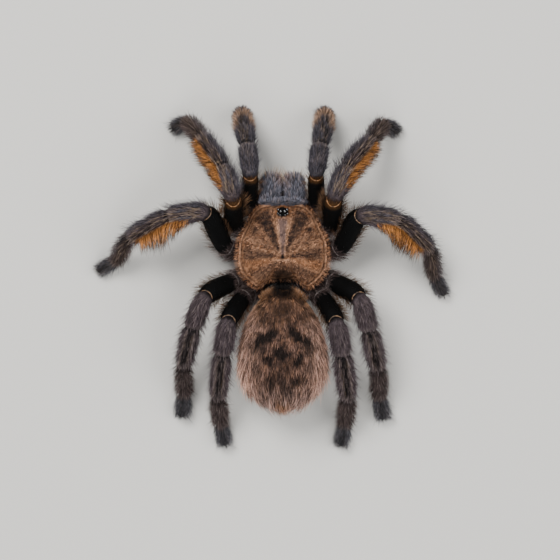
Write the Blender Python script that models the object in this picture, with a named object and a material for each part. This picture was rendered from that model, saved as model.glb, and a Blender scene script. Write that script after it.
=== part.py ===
"""A golden fringe tarantula at life size, standing on eight feet and the tips of its two palps.

The head faces -Y, the animal's left side is +X and the floor is z = 0. Sizes are in
millimetres in the tables below and become metres where a mesh is made. Each limb is one
swept tube, parted at its joints, and the long hair is a coat of flat tapered locks that
are fused to the piece they grow from.
"""

import math
import random

import bmesh
import bpy
from mathutils import Matrix, Vector

MM = 0.001
GAP = 0.3                   # air between two pieces that touch
FLOOR = 0.0
SEED = 11
SHARP = math.radians(40)

# Carapace: a low shield, notched behind, measured from the middle of the shield
CARAPACE_MIDDLE = -0.8
CARAPACE_LENGTH = 22.4
CARAPACE_UNDERSIDE = 9.15
CARAPACE_RIM = 0.9          # height of the upright edge
CARAPACE_RISE = 3.8         # from the edge to the top
HEAD_RISE = 0.7             # how far the head part stands above the rest
HEAD_Y, HEAD_SPREAD = -6.2, (4.4, 4.2)
FOVEA_Y = 1.8               # the small pit in the middle of the back
FOVEA_DEPTH, FOVEA_SPREAD = 0.9, (1.3, 0.9)
GROOVES = (38, 74, 104, 136)        # where shallow grooves run, in degrees from ahead
GROOVE_DEPTH, GROOVE_WIDTH = 0.3, 7.0
# Radius of the outline over half the length, from straight ahead round to straight behind
CARAPACE_OUTLINE = ((0, 1.0), (30, 1.1), (62, 0.99), (90, 1.04), (122, 1.15),
                    (146, 1.13), (160, 0.8), (180, 0.75))

# Eyes: two rows on one low hill close behind the front edge
EYE_HILL = (0.0, -9.9)
EYE_HILL_SIZE = (1.75, 1.45, 1.75)
EYE_HILL_SUNK = 0.2         # how deep the middle of the hill lies in the shield
# Name, place across, place along, half width, half length
EYES = (("front_middle", 0.52, -10.0, 0.36, 0.36), ("front_side", 1.16, -10.5, 0.3, 0.42),
        ("rear_side", 1.2, -9.45, 0.24, 0.34), ("rear_middle", 0.62, -9.1, 0.2, 0.24))
EYE_GAP = 0.2
EYE_SUNK = 0.04             # how far the middle of a lens lies behind its flat back

# Sternum, pedicel and abdomen
STERNUM_SIZE = (5.0, 6.6)   # half width, half length
STERNUM_BOTTOM = 3.5
STERNUM_CROWN = 0.9         # how far its edge lies above its lowest point
STERNUM_BEVEL = 0.6
STERNUM_NARROWING = 0.08    # how much narrower it is behind
PEDICEL_RADIUS = 1.3
PEDICEL_Z = 7.0
PEDICEL_DROP = 2.2          # how far below the abdomen's middle it comes in
PEDICEL_SAG, PEDICEL_WAIST = 0.4, 0.85
ABDOMEN_WIDEST_Y = 29.6
ABDOMEN_FRONT = 19.4        # from the widest place to the front
ABDOMEN_REAR = 11.4
ABDOMEN_HALF_WIDTH = 11.3
ABDOMEN_HALF_HEIGHT = 9.0
ABDOMEN_MIDDLE_Z = 11.3
# Spinnerets: place across and height of the root, then lengths and radii
SPINNERETS = {"spinneret": (2.4, 5.0, (1.0, 1.7, 1.5), (0.8, 0.85, 0.7, 0.3)),
              "spinneret_short": (0.8, 4.6, (0.5, 0.6), (0.42, 0.42, 0.25))}

# Jaws: a stout basal piece each, with a fang folded back below it
JAW_X = 3.25
JAW_BACK, JAW_FRONT = -12.5, -19.4
JAW_MIDDLE_Z = 8.2
JAW_RADIUS = 3.1
JAW_HEIGHT_SHARE = 1.22     # the jaw is taller than it is wide
JAW_RAISED, JAW_DROOP, JAW_INWARD = 0.7, 1.5, 0.5
JAW_TAPER, JAW_END = 0.16, 0.62
JAW_CLOSES = 0.66           # where along the jaw its round front end starts
JAW_STEPS, FANG_STEPS = 6, 6
FANG_RADIUS = 0.85
FANG_PLACE = 0.84           # how far along the jaw the fang is hung
FANG_GAP = 0.5              # below the jaw's middle line, where its side curves up
FANG_REACH, FANG_DROP = 4.3, 1.3
FANG_TURN = 105             # how far the fang turns back, in degrees
FANG_TIP = 0.12

# Limb segments from the body outwards: length and radius at the start, middle and end
COXA_RADII = (1.25, 1.9, 2.1)
SEGMENTS = {
    "palp": ((12.0, (2.1, 2.3, 2.2)), (8.8, (2.1, 2.45, 2.3)), (9.0, (2.25, 2.3, 2.1)),
             (7.6, (2.0, 2.0, 1.7))),
    "leg_1": ((15.2, (2.25, 2.6, 2.45)), (9.4, (2.3, 2.6, 2.4)), (11.2, (2.35, 2.4, 2.0)),
              (9.6, (1.8, 1.75, 1.65)), (6.0, (1.6, 1.8, 1.6))),
    "leg_2": ((14.6, (2.25, 2.75, 2.5)), (10.8, (2.3, 2.6, 2.4)), (12.4, (2.3, 2.35, 1.95)),
              (10.4, (1.75, 1.7, 1.6)), (6.2, (1.55, 1.75, 1.55))),
    "leg_3": ((12.2, (2.2, 2.8, 2.5)), (9.4, (2.25, 2.45, 2.3)), (11.4, (2.2, 2.25, 1.95)),
              (10.6, (1.8, 1.75, 1.7)), (6.4, (1.65, 2.0, 1.8))),
    "leg_4": ((14.2, (2.15, 2.6, 2.4)), (9.6, (2.25, 2.45, 2.3)), (12.8, (2.2, 2.25, 1.95)),
              (10.8, (1.8, 1.75, 1.7)), (6.2, (1.65, 1.95, 1.75))),
}
# Where each coxa stands round the sternum, in degrees from straight ahead, how far off its
# edge the coxa starts, and where the femur starts, across and along
COXA_TURN = {"palp": 23, "leg_1": 57, "leg_2": 91, "leg_3": 125, "leg_4": 156}
COXA_OFF = 0.75
HIP = {"palp": (9.0, -10.9), "leg_1": (12.7, -6.1), "leg_2": (14.9, 0.2),
       "leg_3": (13.0, 8.1), "leg_4": (10.4, 12.2)}
COXA_Z, HIP_Z = 5.8, 6.6
# The rise of each segment above the level, in degrees. The last but one is worked out so
# that its end comes down to FOOT_Z, and the last so that the foot is pressed into the floor
# by FLAT_DEPTH, which is then cut off flat.
RISE = {"palp": (47, -15), "leg_1": (63, -20, -30), "leg_2_left": (40, -14, -13),
        "leg_2_right": (44, -6, -26), "leg_3": (50, -9, -27), "leg_4": (61, -21, -24)}
FOOT_Z = {"palp": 7.0, "leg_1": 4.2, "leg_2": 2.9, "leg_3": 2.3, "leg_4": 2.4}
FLAT_DEPTH = 0.16
# Headings seen from above: 0 is straight ahead, 90 straight out and 180 straight back
HEADING = {
    "palp_left": (-5, 6, 11, 8), "palp_right": (-3, 8, 11, 3),
    "leg_1_left": (-1, 20, 35, 38, 118), "leg_1_right": (2, 24, 41, 34, 120),
    "leg_2_left": (23, 97, 118, 149, 116), "leg_2_right": (26, 98, 131, 169, 149),
    "leg_3_left": (116, 158, 166, 179, 175), "leg_3_right": (119, 164, 166, 175, 168),
    "leg_4_left": (148, 170, 173, 185, 191), "leg_4_right": (151, 169, 172, 185, 190),
}
BEND = 3.4                  # how much of a segment the rounding of a joint takes
CORNER_SHARE = 0.42         # and the most of its length
TUBE_SIDES = 10
FOOT_CLOSES = 0.62          # where along the last segment its round tip starts

# Hair: each lock is flat, tapers to its tip and is bent in one or two places. A row on a
# limb gives the degrees round the limb from its rear side over the top, the first and last
# place along the piece, the number of locks, their length past the skin, their width and
# their lean towards the limb's tip in degrees. Locks are wider than they stand apart, so
# that they overlap like the hair does.
LOCK_DEPTH = 0.7            # how deep a root is sunk
LOCK_THICKNESS = 0.62
LOCK_LIFT = 0.3             # the least height of a tip above the floor
LOCK_SWING = 5              # how much the degrees of a lock vary either way
GOLDEN_ROWS = {
    "leg_1": ((6, 0.13, 0.84, 9, 3.6, 2.6, 32), (-24, 0.17, 0.8, 6, 3.2, 2.6, 34)),
    "leg_2": ((4, 0.21, 0.845, 10, 4.6, 2.7, 24), (-26, 0.25, 0.8, 8, 4.0, 2.7, 28)),
}
DARK_ROWS = {
    ("leg_1", "tibia"): ((182, 0.14, 0.74, 4, 1.5, 2.4, 60),),
    ("leg_2", "tibia"): ((182, 0.14, 0.74, 4, 1.5, 2.4, 60),),
    ("leg_3", "tibia"): ((0, 0.2, 0.8, 6, 2.2, 2.2, 50), (180, 0.2, 0.78, 6, 2.2, 2.2, 52)),
    ("leg_4", "tibia"): ((0, 0.2, 0.8, 6, 1.7, 2.2, 56), (180, 0.2, 0.8, 6, 2.2, 2.2, 52)),
    ("leg_2", "femur"): ((-8, 0.3, 0.64, 4, 2.8, 2.6, 20),),
    ("leg_3", "femur"): ((-50, 0.3, 0.62, 3, 2.0, 2.2, 30),),
    ("leg_4", "femur"): ((-50, 0.3, 0.62, 3, 2.0, 2.2, 30),),
    ("palp", "tibia"): ((0, 0.3, 0.76, 3, 1.3, 2.2, 58), (180, 0.3, 0.76, 3, 1.3, 2.2, 58)),
}
ABDOMEN_ROWS = (-16.4, -12.6, -8.8, -5.0, -1.2, 2.6, 6.0, 8.8, 10.7)
ABDOMEN_LOCKS = 11          # in the widest row
ABDOMEN_LOCK = (7.0, 4.8, 0.7)      # length, width and thickness
ABDOMEN_LIFT = (0.15, 0.24)         # how far a lock stands off the lie of the hair
ABDOMEN_FRONT_LOCK = 0.62   # length of the front locks as a share of the rear ones
SPINNERET_CLEARING = 3.4    # no lock grows or reaches this near to a spinneret
JAW_LOCKS = 6
JAW_LOCK = (3.4, 1.3)       # length and width

COLOURS = {
    "carapace": (0.13, 0.065, 0.038), "abdomen": (0.12, 0.062, 0.038),
    "leg": (0.022, 0.020, 0.022), "jaw": (0.035, 0.036, 0.042),
    "eye": (0.004, 0.004, 0.005), "fang": (0.006, 0.004, 0.004),
}


def clear_scene():
    for obj in list(bpy.data.objects):
        bpy.data.objects.remove(obj, do_unlink=True)


def material(name, roughness):
    found = bpy.data.materials.get(name)
    if found:
        return found
    made = bpy.data.materials.new(name)
    made.use_nodes = True
    shader = made.node_tree.nodes["Principled BSDF"]
    shader.inputs["Base Color"].default_value = (*COLOURS[name], 1.0)
    shader.inputs["Roughness"].default_value = roughness
    return made


def add_object(name, mesh, look, roughness=0.8):
    obj = bpy.data.objects.new(name, mesh)
    bpy.data.collections["tarantula"].objects.link(obj)
    mesh.materials.clear()
    mesh.materials.append(material(look, roughness))
    mesh.shade_smooth()
    mesh.set_sharp_from_angle(angle=SHARP)
    return obj


def mesh_from(bm, name):
    mesh = bpy.data.meshes.new(name)
    bm.normal_update()
    bm.to_mesh(mesh)
    bm.free()
    return mesh


def ball(segments, rings, place):
    """A unit ball whose points are moved by place(point), in millimetres."""
    bm = bmesh.new()
    bmesh.ops.create_uvsphere(bm, u_segments=segments, v_segments=rings, radius=1.0)
    for vert in bm.verts:
        vert.co = Vector(place(vert.co)) * MM
    bmesh.ops.recalc_face_normals(bm, faces=bm.faces)
    return bm


def tube(points, radii, sides=TUBE_SIDES):
    """A closed round tube through the points, as a mesh made from a beveled curve."""
    curve = bpy.data.curves.new("tube", "CURVE")
    curve.dimensions = "3D"
    curve.bevel_depth = MM
    curve.bevel_resolution = (sides - 4) // 2
    curve.use_fill_caps = True
    spline = curve.splines.new("POLY")
    spline.points.add(len(points) - 1)
    for point, at, radius in zip(spline.points, points, radii):
        point.co = (*(Vector(at) * MM), 1.0)
        point.radius = radius
    guide = bpy.data.objects.new("tube", curve)
    bpy.context.scene.collection.objects.link(guide)
    bpy.context.view_layer.update()
    graph = bpy.context.evaluated_depsgraph_get()
    mesh = bpy.data.meshes.new_from_object(guide.evaluated_get(graph))
    bpy.data.objects.remove(guide)
    bpy.data.curves.remove(curve)
    bm = bmesh.new()
    bm.from_mesh(mesh)
    bpy.data.meshes.remove(mesh)
    bmesh.ops.remove_doubles(bm, verts=bm.verts, dist=0.001 * MM)
    bmesh.ops.recalc_face_normals(bm, faces=bm.faces)
    return bm


def cut_flat(bm, place=(0, 0, FLOOR), up=(0, 0, 1)):
    """Cuts off what lies below a plane and closes the cut with one flat face."""
    everything = bm.verts[:] + bm.edges[:] + bm.faces[:]
    cut = bmesh.ops.bisect_plane(bm, geom=everything, plane_co=place, plane_no=up,
                                 clear_inner=True)
    edges = [item for item in cut["geom_cut"] if isinstance(item, bmesh.types.BMEdge)]
    if edges:
        bmesh.ops.contextual_create(bm, geom=edges)
    bmesh.ops.recalc_face_normals(bm, faces=bm.faces)


def outline_radius(angle):
    """Radius of the carapace outline at an angle from straight ahead, in degrees."""
    for (a, low), (b, high) in zip(CARAPACE_OUTLINE, CARAPACE_OUTLINE[1:]):
        if angle <= b:
            share = (angle - a) / (b - a)
            blend = (1 - math.cos(math.pi * share)) / 2
            return (low + (high - low) * blend) * CARAPACE_LENGTH / 2
    return CARAPACE_OUTLINE[-1][1] * CARAPACE_LENGTH / 2


def carapace_height(x, y):
    """Height of the carapace's upper face above the floor at a place seen from above."""
    along = y - CARAPACE_MIDDLE
    reach = math.hypot(x, along)
    angle = math.degrees(math.atan2(abs(x), -along)) if reach > 1e-6 else 0.0
    share = min(reach / outline_radius(angle), 1.0)
    height = CARAPACE_UNDERSIDE + CARAPACE_RIM + CARAPACE_RISE * (1 - share ** 2.4) ** 0.75
    wide, long = HEAD_SPREAD
    height += HEAD_RISE * math.exp(-(x / wide) ** 2 - ((y - HEAD_Y) / long) ** 2)
    wide, long = FOVEA_SPREAD
    height -= FOVEA_DEPTH * math.exp(-(x / wide) ** 2 - ((y - FOVEA_Y) / long) ** 2)
    fade = math.sin(math.pi * min(share, 1.0)) if reach > 1e-6 else 0.0
    for groove in GROOVES:
        height -= GROOVE_DEPTH * fade * math.exp(-((angle - groove) / GROOVE_WIDTH) ** 2)
    return height


def carapace():
    def place(co):
        angle = math.degrees(math.atan2(abs(co.x), -co.y))
        reach = math.hypot(co.x, co.y)
        radius = outline_radius(angle) * min(reach, 1.0)
        x = math.copysign(radius * math.sin(math.radians(angle)), co.x)
        y = CARAPACE_MIDDLE - radius * math.cos(math.radians(angle))
        if co.z < -1e-4:
            return x, y, CARAPACE_UNDERSIDE
        return x, y, carapace_height(x, y)

    shield = ball(36, 18, place)
    bmesh.ops.dissolve_limit(shield, angle_limit=math.radians(1), verts=shield.verts,
                             edges=[e for e in shield.edges
                                    if all(v.co.z < (CARAPACE_UNDERSIDE + 0.01) * MM
                                           for v in e.verts)])
    body = add_object("carapace", mesh_from(shield, "carapace"), "carapace")
    hill_z = carapace_height(*EYE_HILL) - EYE_HILL_SUNK
    wide, long, high = EYE_HILL_SIZE
    hill = ball(16, 8, lambda co: (co.x * wide, EYE_HILL[1] + co.y * long,
                                   hill_z + co.z * high))
    fuse(body, [mesh_from(hill, "eye_hill")])


def eyes():
    wide, long, high = EYE_HILL_SIZE
    hill_z = carapace_height(*EYE_HILL) - EYE_HILL_SUNK
    for name, across, along, half_wide, half_long in EYES:
        for side, sign in (("left", 1), ("right", -1)):
            x, y = across * sign, along - EYE_HILL[1]
            z = high * math.sqrt(1 - (x / wide) ** 2 - (y / long) ** 2)
            out = Vector((x / wide ** 2, y / long ** 2, z / high ** 2)).normalized()
            turn = out.to_track_quat("Z", "Y")
            foot = Vector((x, along, hill_z + z)) + out * EYE_GAP
            lens = ball(8, 6, lambda co: foot - out * EYE_SUNK + turn @ Vector(
                (co.x * half_wide, co.y * half_long, co.z * half_wide)))
            cut_flat(lens, foot * MM, out)
            add_object(f"eye_{name}_{side}", mesh_from(lens, name), "eye", 0.1)


def sternum():
    """The breast plate with the body wall above it, which the coxae stand round."""
    half_wide, half_long = STERNUM_SIZE
    top = CARAPACE_UNDERSIDE - GAP

    def place(co):
        reach = math.hypot(co.x, co.y)
        narrow = 1.0 - STERNUM_NARROWING * max(co.y, 0.0)
        x, y = co.x * half_wide * narrow, co.y * half_long
        if co.z > 0:
            return x, y, top if reach < 0.995 else top - STERNUM_BEVEL
        return x, y, STERNUM_BOTTOM + STERNUM_CROWN * reach ** 4
    core = ball(20, 8, place)
    add_object("sternum", mesh_from(core, "sternum"), "leg")


def abdomen_place(across, along, upwards):
    """A place on the plain egg of the abdomen for a place on the unit ball."""
    reach = ABDOMEN_FRONT if along < 0 else ABDOMEN_REAR
    return Vector((across * ABDOMEN_HALF_WIDTH, ABDOMEN_WIDEST_Y + along * reach,
                   ABDOMEN_MIDDLE_Z + upwards * ABDOMEN_HALF_HEIGHT))


def abdomen_out(at):
    """The outward direction at a place on the abdomen."""
    away = at - Vector((0, ABDOMEN_WIDEST_Y, ABDOMEN_MIDDLE_Z))
    reach = ABDOMEN_FRONT if away.y < 0 else ABDOMEN_REAR
    return Vector((away.x / ABDOMEN_HALF_WIDTH ** 2, away.y / reach ** 2,
                   away.z / ABDOMEN_HALF_HEIGHT ** 2)).normalized()


def abdomen_end(across, z, end):
    """A place on the front (end -1) or rear (end 1) of the abdomen at a height."""
    x, up = across / ABDOMEN_HALF_WIDTH, (z - ABDOMEN_MIDDLE_Z) / ABDOMEN_HALF_HEIGHT
    return abdomen_place(x, end * math.sqrt(1 - x ** 2 - up ** 2), up)


def abdomen_locks():
    """Rows of long hair round the abdomen, which lies backwards all over it."""
    length, width, thick = ABDOMEN_LOCK
    back = Vector((0, 1, 0))
    roots = [abdomen_end(sign * across, z, 1) for sign in (1, -1)
             for across, z, _, _ in SPINNERETS.values()]
    for number, row in enumerate(ABDOMEN_ROWS):
        along = row / (ABDOMEN_FRONT if row < 0 else ABDOMEN_REAR)
        girth = math.sqrt(1 - along ** 2)
        count = max(5, round(ABDOMEN_LOCKS * girth ** 0.8))
        for step in range(count):
            turn = 2 * math.pi * (step + 0.5 * (number % 2) + random.uniform(-0.12, 0.12)) / count
            at = abdomen_place(girth * math.sin(turn), along, girth * math.cos(turn))
            out = abdomen_out(at)
            lie = (back - out * min(out.y, 0.0)).normalized()
            if any((place - root).length < SPINNERET_CLEARING for root in roots
                   for place in (at, at + lie * length / 2)):
                continue
            way = (lie + out * random.uniform(*ABDOMEN_LIFT)).normalized()
            grown = ABDOMEN_FRONT_LOCK + (1 - ABDOMEN_FRONT_LOCK) * (along + 1) / 2
            grown *= random.uniform(0.9, 1.1)
            below = 0.75 if out.z < -0.5 else 1.0
            yield lock(at - out * LOCK_DEPTH, way, out, length * grown * below,
                       width * (0.7 + 0.3 * girth), thick, -out * 0.1)


def abdomen():
    core = bmesh.new()
    bmesh.ops.create_uvsphere(core, u_segments=20, v_segments=14, radius=1.0,
                              matrix=Matrix.Rotation(math.pi / 2, 4, "X"))
    for vert in core.verts:
        vert.co = abdomen_place(*vert.co) * MM
    bmesh.ops.recalc_face_normals(core, faces=core.faces)
    body = add_object("abdomen", mesh_from(core, "abdomen"), "abdomen")
    fuse(body, list(abdomen_locks()))


def pedicel():
    """The narrow waist between the body wall and the abdomen."""
    start = Vector((0, STERNUM_SIZE[1] + GAP, PEDICEL_Z))
    end = abdomen_end(0, ABDOMEN_MIDDLE_Z - PEDICEL_DROP, -1) - Vector((0, GAP, 0))
    points = [start, start.lerp(end, 0.5) - Vector((0, 0, PEDICEL_SAG)), end]
    radii = [PEDICEL_RADIUS, PEDICEL_RADIUS * PEDICEL_WAIST, PEDICEL_RADIUS]
    add_object("pedicel", mesh_from(tube(points, radii, sides=8), "pedicel"), "leg")


def spinnerets():
    """Two long jointed spinnerets with two short ones between them."""
    for kind, (across, z, lengths, radii) in SPINNERETS.items():
        for side, sign in (("left", 1), ("right", -1)):
            root = abdomen_end(across * sign, z, 1)
            out = abdomen_out(root)
            points = [root + out * GAP * 1.4]
            for number, length in enumerate(lengths):
                bent = Vector((0.12 * sign, 1.0, 0.05 * number)).normalized()
                way = out.lerp(bent, number / len(lengths) * 1.3).normalized()
                points.append(points[-1] + way * length)
            spinner = tube(points, radii, sides=8)
            add_object(f"{kind}_{side}", mesh_from(spinner, kind), "leg")


def jaw_section(share, sign):
    """Middle and radius of the jaw's basal piece at a share of its length."""
    at = Vector(((JAW_X - JAW_INWARD * share) * sign,
                 JAW_BACK + (JAW_FRONT - JAW_BACK) * share,
                 JAW_MIDDLE_Z + JAW_RAISED - JAW_DROOP * share ** 2))
    close = max(share - JAW_CLOSES, 0.0) / (1 - JAW_CLOSES)
    radius = JAW_RADIUS * (1 - JAW_TAPER * share - JAW_END * close * share ** 6)
    return at, radius * (0.9 if share == 0 else 1.0)


def jaw_locks(sign):
    """Bristles over the front end of the jaw, pointing forwards."""
    for step in range(JAW_LOCKS):
        turn = math.radians(20 + 140 * step / (JAW_LOCKS - 1))
        at, radius = jaw_section(0.72 + 0.1 * (step % 2), sign)
        out = Vector((math.cos(turn) * sign, -0.25, math.sin(turn))).normalized()
        way = Vector((out.x * 0.35, -1.0, out.z * 0.3)).normalized()
        place = at + out * (radius - LOCK_DEPTH)
        yield lock(place, way, out, *JAW_LOCK, LOCK_THICKNESS, Vector((0, 0, -0.12)), 3, 1)


def jaws():
    for side, sign in (("left", 1), ("right", -1)):
        sections = [jaw_section(step / JAW_STEPS, sign) for step in range(JAW_STEPS + 1)]
        basal = tube([at for at, _ in sections], [radius for _, radius in sections], sides=14)
        for vert in basal.verts:
            height = vert.co.z - JAW_MIDDLE_Z * MM
            vert.co.z = JAW_MIDDLE_Z * MM + height * JAW_HEIGHT_SHARE
            vert.co.x = max(vert.co.x * sign, GAP / 2 * MM) * sign
        jaw = add_object(f"jaw_{side}", mesh_from(basal, "jaw"), "jaw")
        fuse(jaw, list(jaw_locks(sign)))


def fangs():
    """Each fang hangs from the front of its jaw and is folded back below it."""
    for side, sign in (("left", 1), ("right", -1)):
        at, radius = jaw_section(FANG_PLACE, sign)
        middle = JAW_MIDDLE_Z + (at.z - JAW_MIDDLE_Z) * JAW_HEIGHT_SHARE
        root = Vector((at.x, at.y, middle - radius * JAW_HEIGHT_SHARE - FANG_GAP))
        points, radii = [], []
        for step in range(FANG_STEPS + 1):
            share = step / FANG_STEPS
            turn = math.radians(FANG_TURN * share)
            points.append(root + Vector((0, FANG_REACH * (1 - math.cos(turn)),
                                         -FANG_DROP * math.sin(turn))))
            radii.append(FANG_RADIUS * (1 - share ** 1.6) + FANG_TIP)
        add_object(f"fang_{side}", mesh_from(tube(points, radii, sides=8), "fang"), "fang", 0.25)


def along(heading, rise, sign):
    """Unit direction of a heading seen from above and a rise above the level."""
    turn, lift = math.radians(heading), math.radians(rise)
    return Vector((math.sin(turn) * sign * math.cos(lift),
                   -math.cos(turn) * math.cos(lift), math.sin(lift)))


def limb_joints(pair, side):
    """The joints of a limb from the sternum to the tip, in millimetres."""
    sign = 1 if side == "left" else -1
    limb = f"{pair}_{side}"
    rises = list(RISE.get(limb, RISE.get(pair)))
    lengths = [length for length, _ in SEGMENTS[pair]]
    turn = math.radians(COXA_TURN[pair])
    joints = [Vector(((STERNUM_SIZE[0] + COXA_OFF) * math.sin(turn) * sign,
                      -(STERNUM_SIZE[1] + COXA_OFF) * math.cos(turn), COXA_Z)),
              Vector((HIP[pair][0] * sign, HIP[pair][1], HIP_Z))]
    for number, (length, heading) in enumerate(zip(lengths[:-1], HEADING[limb])):
        if number < len(rises):
            rise = rises[number]
        else:
            drop = (joints[-1].z - FOOT_Z[pair]) / length
            rise = -math.degrees(math.asin(min(drop, 1.0)))
        joints.append(joints[-1] + along(heading, rise, sign) * length)

    low, high = -85.0, 20.0
    for _ in range(20):
        rise = (low + high) / 2
        tip = joints[-1] + along(HEADING[limb][-1], rise, sign) * lengths[-1]
        if lowest(*limb_piece(joints + [tip], pair, (len(lengths),))) < -FLAT_DEPTH:
            low = rise
        else:
            high = rise
    return joints + [tip]


def corner(before, at, after, share):
    """Place and direction on the rounding of a joint: 0 where it starts, 1 where it ends."""
    start = at + (before - at).normalized() * min(BEND, (before - at).length * CORNER_SHARE)
    end = at + (after - at).normalized() * min(BEND, (after - at).length * CORNER_SHARE)
    place = start.lerp(at, share).lerp(at.lerp(end, share), share)
    return place, (at - start).lerp(end - at, share).normalized()


def segment_line(joints, number):
    """One segment's centre line, running a little past the joint at each end."""
    start, end = joints[number], joints[number + 1]
    line = [start]
    if number > 0:
        line = [corner(joints[number - 1], start, end, s)[0] for s in (0.2, 0.5, 0.75, 1.0)]
    if number + 2 < len(joints):
        after = joints[number + 2]
        rest = [corner(start, end, after, s)[0] for s in (0.0, 0.25, 0.5, 0.8)]
    else:
        leave = line[-1].lerp(end, 0.5)
        rest = [leave.lerp(end, s) for s in (0.0, 0.5, 0.8, 0.95, 1.0)]
    return line + [line[-1].lerp(rest[0], 0.5)] + rest


def shares_along(line):
    steps = [0.0]
    for a, b in zip(line, line[1:]):
        steps.append(steps[-1] + (b - a).length)
    return [step / steps[-1] for step in steps]


def segment_radius(radii, share, last):
    """Radius along a segment: three values joined by a curve, closed round at the tip."""
    start, middle, end = radii
    radius = (start * (1 - share) * (1 - 2 * share) + 4 * middle * share * (1 - share)
              + end * share * (2 * share - 1))
    if last and share > FOOT_CLOSES:
        close = (share - FOOT_CLOSES) / (1.01 - FOOT_CLOSES)
        radius *= math.sqrt(max(1 - close ** 2, 0.0))
    return radius


def limb_piece(joints, pair, numbers):
    """Centre line and radii of the segments that make one node."""
    points, radii = [], []
    for number in numbers:
        line = segment_line(joints, number)
        if number != numbers[0]:
            line = line[2:]
            points, radii = points[:-1], radii[:-1]
        last = number + 2 == len(joints)
        profile = COXA_RADII if number == 0 else SEGMENTS[pair][number - 1][1]
        points += line
        radii += [segment_radius(profile, share, last) for share in shares_along(line)]
    return points, radii


def lowest(points, radii):
    """Height of the lowest point of a tube."""
    heights = []
    for number, radius in enumerate(radii):
        way = points[min(number + 1, len(points) - 1)] - points[max(number - 1, 0)]
        heights.append(points[number].z - radius * math.hypot(*way.normalized().xy))
    return min(heights)


def limb_nodes(pair):
    """The nodes of a limb: their names and the numbers of their segments."""
    if pair == "palp":
        return (("coxa", (0,)), ("femur", (1,)), ("tibia", (2, 3)), ("foot", (4,)))
    return (("coxa", (0,)), ("femur", (1,)), ("tibia", (2, 3)), ("foot", (4, 5)))


def place_along(points, radii, share):
    """Place, direction and radius at a share of the length of a tube's centre line."""
    shares = shares_along(points)
    for number in range(len(points) - 1):
        low, high = shares[number:number + 2]
        if share <= high:
            part = (share - low) / (high - low)
            way = (points[number + 1] - points[number]).normalized()
            radius = radii[number] + (radii[number + 1] - radii[number]) * part
            return points[number].lerp(points[number + 1], part), way, radius
    return points[-1], (points[-1] - points[-2]).normalized(), radii[-1]


def limb_locks(points, radii, sign, row, hump):
    """One row of hair along a limb. With a hump it is longest in the middle of the row."""
    around, first, last, count, length, width, lean = row
    for step in range(count):
        turn = math.radians(around + random.uniform(-LOCK_SWING, LOCK_SWING))
        tilt = math.radians(lean + random.uniform(-LOCK_SWING, LOCK_SWING))
        part = step / (count - 1)
        share = first + (last - first) * part
        at, way, radius = place_along(points, radii, share)
        rear = (Vector((0, 0, 1)).cross(way) * sign).normalized()
        over = way.cross(rear) * sign
        out = rear * math.cos(turn) + over * math.sin(turn)
        grown = 1.0
        if hump:
            grown = 0.55 + 0.45 * math.sin(math.pi * (0.08 + 0.84 * part)) ** 0.8
        grown *= random.uniform(0.92, 1.08)
        whole = length * grown / math.cos(tilt) ** 0.5 + LOCK_DEPTH / math.cos(tilt)
        leaning = out * math.cos(tilt) + way * math.sin(tilt)
        curl = way * 0.14 - Vector((0, 0, 0.1))
        yield lock(at + out * (radius - LOCK_DEPTH), leaning, way.cross(out), whole, width,
                   LOCK_THICKNESS, curl, sides=4 if hump else 3, bends=2 if hump else 1)


def limb(pair, side):
    """A limb of tubes that run past their joints and are parted there with thin cuts."""
    sign = 1 if side == "left" else -1
    joints = limb_joints(pair, side)
    for name, numbers in limb_nodes(pair):
        points, radii = limb_piece(joints, pair, numbers)
        bm = tube(points, radii, sides=8 if name == "coxa" else TUBE_SIDES)
        for end, ahead in ((numbers[0], 1), (numbers[-1] + 1, -1)):
            if 0 < end < len(joints) - 1:
                place, way = corner(*joints[end - 1:end + 2], 0.5)
                way = way * ahead
                cut_flat(bm, (place + way * GAP / 2) * MM, way)
        if name == "foot":
            cut_flat(bm)
        body = add_object(f"{pair}_{side}_{name}", mesh_from(bm, name), "leg")
        golden = GOLDEN_ROWS.get(pair, ()) if name == "tibia" else ()
        locks = []
        for row in golden + DARK_ROWS.get((pair, name), ()):
            locks += limb_locks(points, radii, sign, row, row in golden)
        if locks:
            fuse(body, locks)


def lock(root, way, flat, length, width, thick, curl, sides=4, bends=2):
    """A flat, tapered lock of hair as a closed mesh.

    It leaves its root along way, lies flat to the direction flat, and curl is how far its
    tip is bent aside, as a share of its length.
    """
    bm = bmesh.new()
    bmesh.ops.create_cone(bm, cap_ends=True, segments=sides, radius1=1.0, radius2=0.5, depth=1.0)
    lengthwise = [edge for edge in bm.edges
                  if abs(edge.verts[0].co.z - edge.verts[1].co.z) > 0.5]
    bmesh.ops.subdivide_edges(bm, edges=lengthwise, cuts=bends)
    bmesh.ops.pointmerge(bm, verts=[vert for vert in bm.verts if vert.co.z > 0.49],
                         merge_co=(0, 0, 0.5))
    side = way.cross(flat).normalized()
    top = side.cross(way).normalized()
    for vert in bm.verts:
        share = vert.co.z + 0.5
        middle = root + (way * share + curl * share ** 2) * length
        spread = vert.co.xy.normalized() * (1 - share ** 1.7) / 2 if share < 0.99 else Vector((0, 0))
        at = middle + side * spread.x * width + top * spread.y * thick
        at.z = max(at.z, LOCK_LIFT)
        vert.co = at * MM
    bmesh.ops.recalc_face_normals(bm, faces=bm.faces)
    return mesh_from(bm, "lock")


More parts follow.
